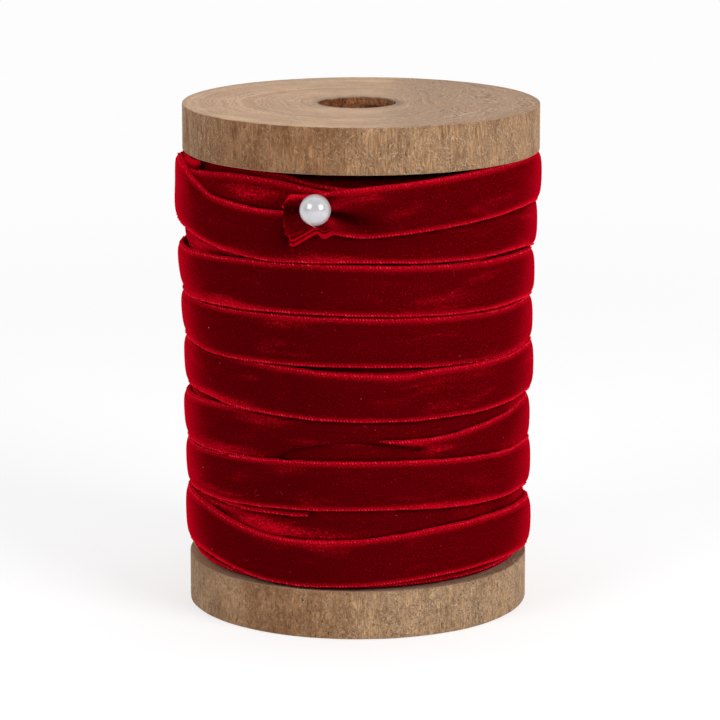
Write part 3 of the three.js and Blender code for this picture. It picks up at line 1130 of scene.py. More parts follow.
class Winding:
    """All the ribbon on the spool, laid turn over turn so that no layer cuts another."""

    def __init__(self, runs: Sequence[RibbonRun], inner_radius: Callable[[np.ndarray], np.ndarray]) -> None:
        """Lays all the runs.

        Args:
            runs: Lengths of ribbon.
            inner_radius: Radius of the deepest turns at given heights.
        """
        self.runs, self.inner_radius = runs, inner_radius
        for run in runs:
            run.lay_out()
        for column in range(len(AZIMUTHS)):
            self.crush_column(column, self.lay_column(column))
        for run in runs:
            self.ease_along(run)

    def lay_column(self, column: int) -> list[tuple[float, RibbonRun, int]]:
        """Lays every turn that passes one azimuth.

        Args:
            column: Number of the azimuth.

        Returns:
            Radius, run and turn number of each pass, the deepest first.
        """
        azimuth = AZIMUTHS[column]
        surface = self.inner_radius(LEVELS)
        passes = [(run.radius[n, column], run, n) for run in self.runs for n in range(len(run.turns))
                  if run.covers(n, azimuth)]
        passes.sort(key=lambda item: item[0])
        left, right = bell(azimuth + 90, SIDE_SPREAD), bell(azimuth - 90, SIDE_SPREAD)
        crown = CROWN + SIDE_CROWN * max(left, right)
        for radius, run, n in passes:
            z = run.height[n, column]
            lean = run.turns[n].left_lean * left
            wanted = radius - run.thickness + lean * ACROSS - crown * (0.6 * ACROSS ** 4 + 0.4 * ACROSS ** 2)
            below = np.maximum.reduce([np.interp(z + shift, LEVELS, surface) for shift in (-REACH, 0.0, REACH)])
            least = lift = np.maximum(below + EASE - wanted, 0)
            for _ in range(EASING_ROUNDS):
                spread = lift.copy()
                spread[1:-1] = (lift[:-2] + lift[1:-1] + lift[2:]) / 3
                lift = np.maximum(spread, least)
            run.base[n, column] = wanted + lift
            depth = run.ground + run.pile(n, azimuth, (z[-1] - z[0]) / 2)
            run.outer[n, column] = run.base[n, column] + depth
            firm = run.base[n, column] + np.minimum(CRUSHED, depth)
            inside = (LEVELS >= z[0]) & (LEVELS <= z[-1])
            surface[inside] = np.maximum(surface[inside], np.interp(LEVELS[inside], z, firm))
        return passes

    @staticmethod
    def crush_column(column: int, passes: Sequence[tuple[float, RibbonRun, int]]) -> None:
        """Presses the pile flat where a later turn lies on it.

        Args:
            column: Number of the azimuth.
            passes: What was laid there, the deepest first.
        """
        ceiling = np.full(len(LEVELS), OPEN_AIR)
        for _, run, n in reversed(passes):
            z, base, outer = run.height[n, column], run.base[n, column], run.outer[n, column]
            above = np.interp(z, LEVELS, ceiling)
            outer[:] = np.maximum(np.minimum(outer, above - PILE_GAP), base + LEAST_PILE)
            covered = np.convolve(ceiling < np.interp(LEVELS, z, outer) + SHADE_GAP, SHADE_SPREAD, mode="same")
            run.shade[n, column] = np.minimum(np.interp(z, LEVELS, covered), 1.0)
            inside = (LEVELS >= z[0] - COVER_REACH) & (LEVELS <= z[-1] + COVER_REACH)
            ceiling[inside] = np.minimum(ceiling[inside], np.interp(LEVELS[inside], z, base))

    @staticmethod
    def ease_along(run: RibbonRun) -> None:
        """Smooths a run along its length.

        Args:
            run: The ribbon.
        """
        kept = np.array([run.covers(n, a) for n in range(len(run.turns)) for a in AZIMUTHS])
        first, last = int(np.argmax(kept)), len(kept) - 1 - int(np.argmax(kept[::-1]))
        for values in (run.base, run.outer, run.shade):
            line = values.reshape(-1, len(ACROSS))
            line[:first], line[last + 1:] = line[first], line[last]
            padded = np.concatenate([line[:1]] * 2 + [line] + [line[-1:]] * 2)
            line[:] = sum(w * padded[i:i + len(line)] for i, w in enumerate(ALONG_WEIGHTS))


@dataclass(frozen=True)
class Pin:
    """The pearl-headed pin. Sizes in millimetres and degrees.

    Attributes:
        azimuth, height, radius: Where the pearl's middle is on the roll.
        pearl_radius, shaft_radius: Their sizes.
        slant, dip: How far the shaft turns from straight inwards, and down.
        length: From the pearl's middle to the point.
    """

    azimuth: float = -11.65
    height: float = 84.85
    radius: float = 39.5
    pearl_radius: float = 2.95
    slant: float = 34.0
    dip: float = 2.0
    shaft_radius: float = 0.35
    length: float = 36.0

    def ring(self, distance: float, radius: float, count: int) -> np.ndarray:
        """A ring of points round the shaft's line.

        Args:
            distance: Millimetres from the pearl's middle, along the shaft.
            radius: Its radius in millimetres.
            count: Number of points.

        Returns:
            The points in metres.
        """
        angle, dip = math.radians(self.azimuth + 180 - self.slant), math.radians(self.dip)
        along = np.array([math.sin(angle) * math.cos(dip), -math.cos(angle) * math.cos(dip), -math.sin(dip)])
        side = np.cross(along, [0, 0, 1.0])
        side /= np.linalg.norm(side)
        flat = circle((0, 0), radius, distance, count)
        spread = flat @ np.array([side, np.cross(side, along), along])
        return on_roll(self.azimuth, self.radius, self.height) + spread * MM

    def build(self, pearl: Material, steel: Material, rings: int = 40, around: int = 64, sides: int = 16) -> None:
        """Makes the pearl, with the hollow where the shaft enters it, and the pointed shaft.

        Args:
            pearl: Material of the bead.
            steel: Material of the wire.
            rings: Steps from the pearl's front to its back.
            around: Points in each of its rings.
            sides: Points in each ring of the shaft.
        """
        bead = []
        for polar in np.linspace(0, math.pi, rings + 1):
            hollow = 0.5 * bell(polar - math.pi, 0.11)
            bead.append((-(math.cos(polar) + hollow) * self.pearl_radius, math.sin(polar) * self.pearl_radius))
        shaft = [(distance, share * self.shaft_radius) for distance, share in (
            (1.2, 0.0), (1.2, 1.0), (self.length - 4, 1.0), (self.length - 1.2, 0.5), (self.length - 0.2, 0.08),
            (self.length - 0.1, 0.0))]
        for name, stations, count, slot, material, node in (
                ("pearl_head", bead, around, Slot.PEARL, pearl, "pin_head"),
                ("pin_wire", shaft, sides, Slot.STEEL, steel, "pin_shaft")):
            points = np.concatenate([self.ring(*station, count) for station in stations])
            piece = new_piece(name, points, tube_faces(len(stations), count, Ends.OPEN), weld=True)
            finish_piece(piece, material)
            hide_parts(node)


class Stretch(Enum):
    """Stretches of a disc's outline."""

    FACE = "face"
    TOP_RIM = "top rim"
    SIDE = "side"
    LOW_RIM = "low rim"
    BORE = "bore"


class Row(NamedTuple):
    """A ring of points of a disc: its stretch, its place or angle along it, and the height of a flat face."""

    kind: Stretch
    share: float
    level: float = 0.0


FACE_ROWS, SIDE_ROWS, LOW_FACE_ROWS, BORE_ROWS, RIM_STEPS = 22, 14, 16, 26, 6
RIM_WAVES = (Wave(1.3, 0, 0.22), Wave(7.0, 5, 0.06))
WEAR_WAVES = (Wave(3.0, 9, 0.5), Wave(3.0, 17, 0.5))  # of the upper and of the lower edge
BORE_WAVES = (Wave(0.9, 31, 0.35), Wave(2.6, 41, 0.3, 0.35))
BARREL_WAVES = (Wave(0.8, 7, 0.3, 0.3), Wave(2.2, 3, 0.15, 0.4))
FACE_WAVE, FACE_DIP = Wave(0.05, 3, 0.05, 0), 0.05
STAIN_WAVE = Wave(0.12, 13, 0.8, 0)
STAIN_RADIUS, STAIN_STRENGTH = 9.3, 0.85
LEDGE_HIGH, LEDGE_LOW, LEDGE_DEPTH = 1.9, 2.2, 0.5  # a step in the bore, in millimetres under the face
BORE_FADE = 0.6
RIM_WEAR, SIDE_WEAR = 0.35, 0.2


@dataclass(frozen=True)
class SpoolDisc:
    """One wooden disc of the spool, with a bore. Sizes in millimetres.

    Attributes:
        name: The piece's name.
        node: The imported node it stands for.
        radius: Its rim.
        bottom, top: Its faces.
        shift: Its middle from the spool's axis.
        seed: Moves its waviness to another part of the pattern.
        rounding: Wear at the rim's edges.
        around: Points in each ring.
    """

    name: str
    node: str
    radius: float
    bottom: float
    top: float
    shift: tuple[float, float]
    seed: float
    rounding: float = 0.25
    around: int = 288

    def rows(self) -> list[Row]:
        """Its rings in order.

        Returns:
            Rings over the top face, down the side, under the low face and up the bore.
        """
        rim = [math.pi / 2 * step / (RIM_STEPS - 1) for step in range(RIM_STEPS)]
        return ([Row(Stretch.FACE, share, self.top) for share in np.linspace(0.0, 1.0, FACE_ROWS)[:-1]]
                + [Row(Stretch.TOP_RIM, angle) for angle in rim]
                + [Row(Stretch.SIDE, share) for share in np.linspace(0, 1, SIDE_ROWS)[1:-1]]
                + [Row(Stretch.LOW_RIM, angle) for angle in reversed(rim)]
                + [Row(Stretch.FACE, share, self.bottom) for share in np.linspace(1.0, 0.0, LOW_FACE_ROWS)[1:]]
                + [Row(Stretch.BORE, share) for share in np.linspace(0, 1, BORE_ROWS)[1:-1]])

    def build(self, material: Material) -> None:
        """Makes the disc.

        Args:
            material: Its wood.
        """
        spread = circle((0, 0), 1, 0, self.around)
        rim = self.radius + waves(spread, self.seed, RIM_WAVES)
        top_round, low_round = (self.rounding * (1 + waves(spread, self.seed, [part])) for part in WEAR_WAVES)
        rows = self.rows()
        points = np.concatenate([self.ring(row, rim, top_round, low_round) for row in rows])
        points, stain = self.roughen(points, np.array([row.kind for row in rows]).repeat(self.around))
        kept = {"rim": [self.rim_share(row) for row in rows], "side": [self.side_share(row) for row in rows],
                "bored": [row.kind is Stretch.BORE for row in rows]}
        piece = new_piece(self.name, in_frame(points), tube_faces(len(rows), self.around, Ends.JOINED),
                          {"stain": stain, **{name: np.repeat(v, self.around) for name, v in kept.items()}})
        finish_piece(piece, material)
        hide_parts(self.node)

    @staticmethod
    def side_share(row: Row) -> float:
        """How much a row of the disc belongs to its side.

        Args:
            row: The row.

        Returns:
            0 on a flat face to 1 on the side and in the bore.
        """
        if row.kind in (Stretch.SIDE, Stretch.BORE):
            return 1.0
        return 0.0 if row.kind is Stretch.FACE else float(smooth_step(0.35, 0.85, 2 * row.share / math.pi))

    @staticmethod
    def rim_share(row: Row) -> float:
        """How worn a row of the disc is.

        Args:
            row: The row.

        Returns:
            Its wear, from 0 to 1.
        """
        if row.kind in (Stretch.TOP_RIM, Stretch.LOW_RIM):
            return RIM_WEAR
        near_rim = max(0.0, 1 - 6 * min(row.share, 1 - row.share))
        return SIDE_WEAR * near_rim if row.kind is Stretch.SIDE else 0.0

    def ring(self, row: Row, rim: np.ndarray, top_round: np.ndarray, low_round: np.ndarray) -> np.ndarray:
        """One ring of the disc before it is roughened.

        Args:
            row: Where it lies.
            rim: Radius of the rim.
            top_round, low_round: Wear of its upper and of its lower edge.

        Returns:
            The points in millimetres from the spool's axis.
        """
        kind, share, level = row
        if kind is Stretch.BORE:
            return circle(BORE_AT, BORE_RADIUS, self.bottom + (self.top - self.bottom) * share, self.around)
        if kind is Stretch.FACE:
            inner = circle(BORE_AT, BORE_RADIUS, level, self.around)
            edge = rim - (top_round if level == self.top else low_round)
            return inner + (circle(self.shift, edge, level, self.around) - inner) * share
        if kind is Stretch.SIDE:
            z = self.top - top_round - (self.top - self.bottom - top_round - low_round) * share
            return circle(self.shift, rim, z, self.around)
        size = top_round if kind is Stretch.TOP_RIM else low_round
        drop = size - size * math.cos(share)
        z = self.top - drop if kind is Stretch.TOP_RIM else self.bottom + drop
        return circle(self.shift, rim - size + size * math.sin(share), z, self.around)

    def roughen(self, points: np.ndarray, kinds: np.ndarray) -> tuple[np.ndarray, np.ndarray]:
        """Adds the torn grain of the bore, a slightly uneven face and the dark stain round the hole.

        Args:
            points: The disc's points.
            kinds: The stretch that each lies on.

        Returns:
            The roughened points and their stain.
        """
        away = points[:, :2] - BORE_AT
        from_bore = np.linalg.norm(away, axis=1)
        depth = self.top - points[:, 2]
        torn = waves(points, self.seed, BORE_WAVES)
        ledge = LEDGE_DEPTH * smooth_step(LEDGE_HIGH, LEDGE_LOW, depth) * smooth_step(-1, 3, points[:, 0])
        fade = smooth_step(0, BORE_FADE, depth) * smooth_step(0, BORE_FADE, points[:, 2] - self.bottom)
        push = away / from_bore[:, None] * ((torn + ledge) * fade)[:, None]
        points[:, :2] += np.where((kinds == Stretch.BORE)[:, None], push, 0.0)
        face = (kinds == Stretch.FACE) & (points[:, 2] > self.top - 0.01)
        points[face, 2] -= FACE_DIP - waves(points[face], self.seed, [FACE_WAVE])
        reach = STAIN_RADIUS + waves(points, self.seed, [STAIN_WAVE])
        stain = STAIN_STRENGTH * (1 - smooth_step(reach - 1.2, reach + 0.5, from_bore))
        return points, np.where(kinds == Stretch.FACE, stain, 0.0)


@dataclass(frozen=True)
class Barrel:
    """The wooden barrel between the discs, of which only the bore shows. Sizes in millimetres."""

    bottom: float = 9.8
    top: float = 90.4
    radius: float = 16.0
    levels: int = 60
    around: int = 144

    def build(self, material: Material) -> None:
        """Makes the barrel.

        Args:
            material: Its wood.
        """
        levels = np.linspace(self.bottom, self.top, self.levels)
        outer = np.concatenate([circle((0, 0), self.radius, z, self.around) for z in levels])
        bore = np.concatenate([circle(BORE_AT, BORE_RADIUS, z, self.around) for z in levels[::-1]])
        bore[:, :2] += (bore[:, :2] - BORE_AT) / BORE_RADIUS * waves(bore, 0, BARREL_WAVES)[:, None]
        points = np.concatenate([outer, bore])
        piece = new_piece("spool_barrel", in_frame(points), tube_faces(2 * self.levels, self.around, Ends.JOINED),
                          {"side": np.ones(len(points))})
        finish_piece(piece, material)
        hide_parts("barrel")


OUTER_TURNS = (
    Turn((86.2, 86.2, 84.5, 84.0, 83.0, 82.0, 82.1, 83.4, 84.25, 84.95, 85.6, 86.05, 86.4, 84.5),
         (36.0, 36.0, 36.1, 36.1)),
    Turn((85.7, 82.2, 81.6, 80.4, 79.2, 78.5, 78.6, 78.8, 78.5, 78.2, 78.0, 78.0, 77.8, 74.4),
         (35.9, 36.0, 35.1, 35.3), -0.4),
    Turn((73.0, 67.6, 67.7, 68.0, 68.3, 68.5, 68.6, 68.5, 68.2, 67.9, 67.6, 67.5, 67.2, 64.4),
         (35.0, 35.45, 34.9, 34.95), 0.5),
    Turn((62.6, 57.6, 58.5, 58.3, 58.3, 58.5, 58.5, 58.4, 58.1, 57.8, 57.5, 57.5, 57.6, 55.6),
         (34.6, 34.95, 34.6, 34.6), 0.35),
    Turn((53.2, 48.6, 49.4, 49.2, 48.8, 48.4, 48.1, 47.9, 47.7, 47.8, 47.9, 48.1, 48.5, 46.6),
         (34.5, 34.5, 34.5, 34.9), 0.2),
    Turn((43.0, 37.4, 38.3, 38.7, 39.1, 39.2, 39.6, 40.6, 41.2, 41.0, 41.4, 42.0, 42.4, 41.6),
         (34.3, 34.7, 33.9, 33.3), 0.2),
    Turn((40.2, 34.6, 35.2, 35.0, 34.8, 34.6, 34.4, 34.5, 34.3, 34.5, 35.5, 36.4, 37.3, 35.8),
         (33.3, 33.3, 33.8, 34.2), 0.1),
    Turn((32.6, 27.8, 28.8, 29.1, 29.5, 29.9, 30.2, 30.4, 30.3, 29.9, 29.5, 29.1, 29.1, 26.2),
         (34.2, 34.35, 34.4, 34.4), 0.2),
    Turn((24.2, 18.4, 18.4, 17.6, 16.2, 15.2, 15.0, 15.3, 16.0, 16.6, 16.9, 17.0, 16.8, 14.8),
         (34.3, 34.45, 34.3, 34.6), 0.15),
    Turn((15.6, 15.2, 15.2, 15.1, 15.1, 15.0, 14.9, 14.9, 15.0, 15.1, 15.2, 15.3, 15.4, 15.4),
         (33.3, 33.4, 32.8, 33.2), 0.1),
)
UNDER_TURNS = (
    Turn((15.8, 17.0, 18.4, 18.2, 18.7, 20.3, 21.1, 21.4, 21.6, 21.8, 22.0, 22.2, 22.4, 23.2),
         (32.3, 32.9, 33.2, 33.0)),
    Turn((25.2, 26.6, 28.3, 28.4, 28.4, 28.6, 28.8, 29.0, 29.2, 29.6, 30.4, 31.0, 31.4, 32.8),
         (32.9, 33.5, 33.1, 32.8)),
    Turn((35.0, 36.6, 38.0, 38.0, 38.2, 38.4, 38.6, 38.8, 39.2, 39.6, 40.0, 40.4, 41.0, 42.2),
         (32.4, 33.0, 32.4, 32.3)),
    Turn((44.6, 45.9, 47.2, 47.5, 48.0, 48.1, 47.8, 47.5, 47.3, 48.2, 49.4, 49.8, 50.2, 51.8),
         (32.8, 33.6, 33.0, 32.8)),
    Turn((54.2, 56.0, 57.4, 57.6, 57.8, 58.0, 58.5, 58.9, 59.0, 59.1, 59.4, 59.8, 60.2, 61.6),
         (32.9, 33.0, 33.1, 32.9)),
    Turn((64.0, 65.6, 67.0, 67.2, 67.4, 67.6, 67.8, 68.0, 68.2, 68.6, 69.0, 69.2, 69.6, 71.0),
         (33.2, 33.6, 33.4, 33.2)),
    Turn((73.4, 75.6, 76.6, 76.4, 76.2, 76.4, 76.4, 76.6, 76.8, 77.0, 77.4, 77.8, 78.2, 79.6),
         (33.7, 34.2, 33.6, 33.4)),
    Turn((82.0, 83.4, 84.0, 83.9, 84.4, 84.1, 82.6, 81.3, 81.1, 81.4, 82.0, 82.6, 83.4, 84.6),
         (33.8, 35.5, 33.5, 33.4)),
    Turn((85.0, 85.6, 86.0, 86.0, 85.6, 85.2, 83.6, 82.6, 82.4, 82.6, 83.0, 83.4, 83.8, 84.4),
         (32.6, 33.0, 32.4, 32.2)),
)
# Painted light and shade on the pile, by azimuth: lighter at the left side and front right, darker at the front left
# and right side.
PAINTED_LIGHT_AZIMUTHS = (-180, -90, -55, -20, 0, 30, 55, 80, 180)
PAINTED_LIGHT_BY_AZIMUTH = (0.0, 0.42, -0.03, -0.17, -0.07, 0.08, 0.12, -0.1, 0.0)
LEAD_TURN = (Turn((85.6, 85.6) + (85.5,) * 12, (35.0, 35.1, 34.6, 34.6)),)
OUTER_PULLS = (
    EdgePull(0, Edge.LOWER, (-22, -20, -16.4, -12.4, -10.6, -5.3, -1.4, 0.6, 5),
             (0.7, 1.2, 2.3, 3.2, 2.6, 1.3, 0.6, 0.25, 0)),
    EdgePull(0, Edge.LOWER, (60, 80, 100, 120), (0, -0.6, -0.6, 0)),
    EdgePull(5, Edge.LOWER, (-33, -27, -21, -16, -7, 0, 10, 18, 27),
             (0, 1.1, 2.9, 3.4, 3.7, 3.4, 2.2, 1.1, 0), folded=True),
    EdgePull(2, Edge.LOWER, (-120, -95, -80, -62), (0, 0.2, 0.2, 0)),
    EdgePull(3, Edge.LOWER, (-120, -95, -80, -62), (0, 0.35, 0.3, 0)),
    EdgePull(4, Edge.LOWER, (60, 80, 100, 120), (0, -0.5, -0.5, 0)),
    EdgePull(4, Edge.UPPER, (-32, -22, -12, 0, 10, 16, 21, 28), (0, 0.1, 0.35, 0.5, 0.65, 0.65, 0.2, 0)),
    EdgePull(3, Edge.LOWER, (-28, -10, 0, 14, 22, 30), (0, 0.05, 0.2, 0.2, 0.1, 0)),
    EdgePull(7, Edge.LOWER, (60, 80, 100, 120), (0, -0.5, -0.5, 0)),
    EdgePull(1, Edge.UPPER, (-135, -110, -90, -80, -70, -62, -54), (0, -1.2, -3.2, -3.2, -2.6, -1.3, 0)),
    EdgePull(4, Edge.LOWER, (-120, -95, -80, -60), (0, -0.6, -0.5, 0)),
    EdgePull(7, Edge.LOWER, (-120, -95, -80, -60), (0, -0.4, -0.3, 0)),
    EdgePull(8, Edge.UPPER, (-60, -30, 0, 30), (0, 0.6, 0.5, 0)),
    EdgePull(8, Edge.LOWER, (-120, -95, -75, -50), (0, -1.7, -1.1, 0)),
    EdgePull(8, Edge.LOWER, (50, 75, 95, 120), (0, -0.5, -0.6, 0)),
    EdgePull(1, Edge.LOWER, (60, 80, 100, 120), (0, -0.7, -0.7, 0)),
)
CREASES = (
    Crease(5, (-33, -28, -20, -16), (38.2, 38.1, 38.0, 38.0), (0.0, 0.35, 0.4, 0.0), 0.3),
    Crease(5, (-34, -24, -19, -14), (36.0, 36.1, 36.3, 36.4), (0.0, 0.15, 0.3, 0.3), 1.0),
    Crease(6, (-4, 2, 12, 22, 30, 34), (39.6, 39.2, 38.1, 37.1, 36.2, 35.8), (0.0, 0.5, 0.6, 0.6, 0.5, 0.0), 0.4),
)
# Marks on the outer layer's pile: above 0 laid-over pile and painted highlight on crests and edges, below 0 painted
# shade under the loose end, round the pearl, in a crease and on the lowest turn.
OUTER_BRUSHED_LIGHT_SHADE = (
    Brushed(3, -24, 61.7, 8, 0.9, 0.55),
    Brushed(5, -32, 42.4, 10, 1.2, 0.5),
    Brushed(5, -15, 38.9, 9, 0.5, 0.4),
    Brushed(6, 26, 36.7, 5, 0.6, 1.0),
    Brushed(6, 11, 39.4, 6, 0.8, -1.0),
    Brushed(6, -2, 40.0, 3, 0.5, 0.5),
    Brushed(7, -23, 33.4, 7, 1.0, 0.55),
    Brushed(8, -19, 18.4, 9, 0.9, 0.6),
    Brushed(1, -38, 83.6, 8, 0.8, 0.35),
    Brushed(2, 30, 66.5, 12, 1.4, 0.25),
    Brushed(4, 28, 50.5, 12, 1.2, 0.25),
    Brushed(0, -20.5, 86.4, 2.0, 1.2, 1.3),
    Brushed(0, -20.5, 82.0, 0.7, 4.0, 0.5),
    Brushed(0, -17.0, 83.0, 3.0, 2.6, -0.7),
    Brushed(0, -18.9, 78.6, 1.7, 0.5, 1.1),
    Brushed(0, -15.8, 79.7, 1.7, 0.5, 1.1),
    Brushed(0, -13.2, 80.7, 1.5, 0.5, 1.1),
    Brushed(0, 3, 86.8, 6, 1.0, 0.35),
    Brushed(1, -2, 77.6, 9, 1.3, -0.45),
    Brushed(9, -55, 10.6, 30, 1.6, -0.5),
    Brushed(9, 55, 10.6, 30, 1.6, -0.5),
    Brushed(2, -50, 64.5, 16, 0.8, 1.2),
    Brushed(1, -10, 75.0, 9, 0.8, 1.0),
    Brushed(1, -48, 75.0, 14, 0.7, 1.1),
    Brushed(1, -6, 77.0, 4, 0.8, -0.4),
    Brushed(1, 10, 77.9, 12, 0.9, -0.5),
    Brushed(5, -46, 35.6, 14, 0.8, 1.1),
    Brushed(4, -50, 45.4, 14, 0.8, 1.2),
    Brushed(7, -50, 26.4, 13, 0.6, 0.8),
    Brushed(7, 18, 26.0, 16, 0.5, 0.9),
    Brushed(7, 42, 25.5, 12, 0.5, 0.8),
    Brushed(0, -50, 80.6, 12, 0.6, 0.8),
)
# Marks on the under layer's pile: laid-over pile and painted highlight where it shows between the outer turns.
UNDER_BRUSHED_LIGHT_SHADE = (
    Brushed(0, -36, 21.5, 12, 1.8, 1.2),
    Brushed(0, -22, 20.4, 14, 0.9, 0.9),
    Brushed(0, -12, 20.5, 14, 1.0, 0.5),
    Brushed(7, -37, 86.3, 13, 1.3, 0.9),
    Brushed(6, -45, 75.2, 12, 1.6, 0.7),
    Brushed(6, -60, 73.8, 9, 1.4, 1.3),
)
CUT_END_ACROSS = (-1.0, -0.85, -0.7, -0.3, 0.1, 0.42, 0.5, 0.58, 0.75, 1.0)
CUT_END_AZIMUTH = (-20.5, -21.4, -22.4, -22.7, -23.0, -23.1, -23.9, -22.9, -22.2, -21.1)
# The selvedge that is turned under at the pin: its line, and its section as height over that line and radius.
TURNED_AZIMUTH = (-20.8, -19.8, -16.4, -12.6, -11.7, -10.9, -9.7, -8.6, -7.0)
TURNED_HEIGHT = (77.2, 77.0, 78.2, 79.6, 79.3, 78.8, 78.8, 79.2, 79.6)
TURNED_PROFILE = ((2.2, 35.4), (1.6, 35.5), (1.4, 36.1), (1.0, 36.2), (0.78, 35.75), (0.6, 36.05), (0.1, 36.0),
                  (0.0, 35.7), (0.1, 35.3), (1.9, 35.1))
# Place across as the pile's colour reads it: the turned edge's two crests near -1 are drawn lit and the groove between
# them darker, painted highlight and shade over the woven edge.
TURNED_ACROSS = np.array([-0.2, -0.3, -0.95, -0.97, -0.4, -0.95, -0.97, -0.98, -1.0, -1.0])
TURNED_ROW = 0.0005  # metres between its rows
FINE_TO, FINE_STEP, ROW_END = 24.0, 0.3, 0.01  # fine rows of the loose end, and how far past its end a row may lie
TURN_PITCH, GROOVED_FROM = 9.9, 12.0  # of the deep turns
DEEP_RADIUS, CORE_RADIUS = 31.2, 16.4


@dataclass(frozen=True)
class Fold:
    """A ridge or a valley that runs out from the pin.

    Attributes:
        angle: Its direction, in degrees anticlockwise from straight right.
        spread: Its width in degrees.
        rise: Its height, less than 0 for a valley, in millimetres.
        reach: How soon it fades, in millimetres.
    """

    angle: float
    spread: float
    rise: float
    reach: float


FOLDS = (
    Fold(-14, 12, -1.3, 5.0),
    Fold(17, 14, 0.75, 5.5),
    Fold(-46, 15, 0.75, 4.5),
    Fold(52, 16, -0.5, 3.0),
    Fold(145, 18, 0.4, 3.5),
    Fold(184, 20, -0.9, 4.0),
    Fold(215, 16, 0.6, 4.5),
    Fold(256, 16, -0.25, 2.5),
)
PIN_FOLD_RADIUS, MIDDLE_BELOW = 36, 0.6  # radius at which the folds are measured, and their middle under the pearl
BOSS_HEIGHT, BOSS_SPREAD = 0.55, 4.5
FOLD_START, FOLD_FULL, DEEPEST_FOLD = 0.4, 2.6, -0.7
FOLDED_FROM, FOLDED_NARROWING = 0.15, 0.35


def turn_and_azimuth(absolute: float) -> tuple[float, float]:
    """Number of the turn, and azimuth, at degrees along a run."""
    turn, azimuth = divmod(absolute + 180, 360)
    return turn, azimuth - 180


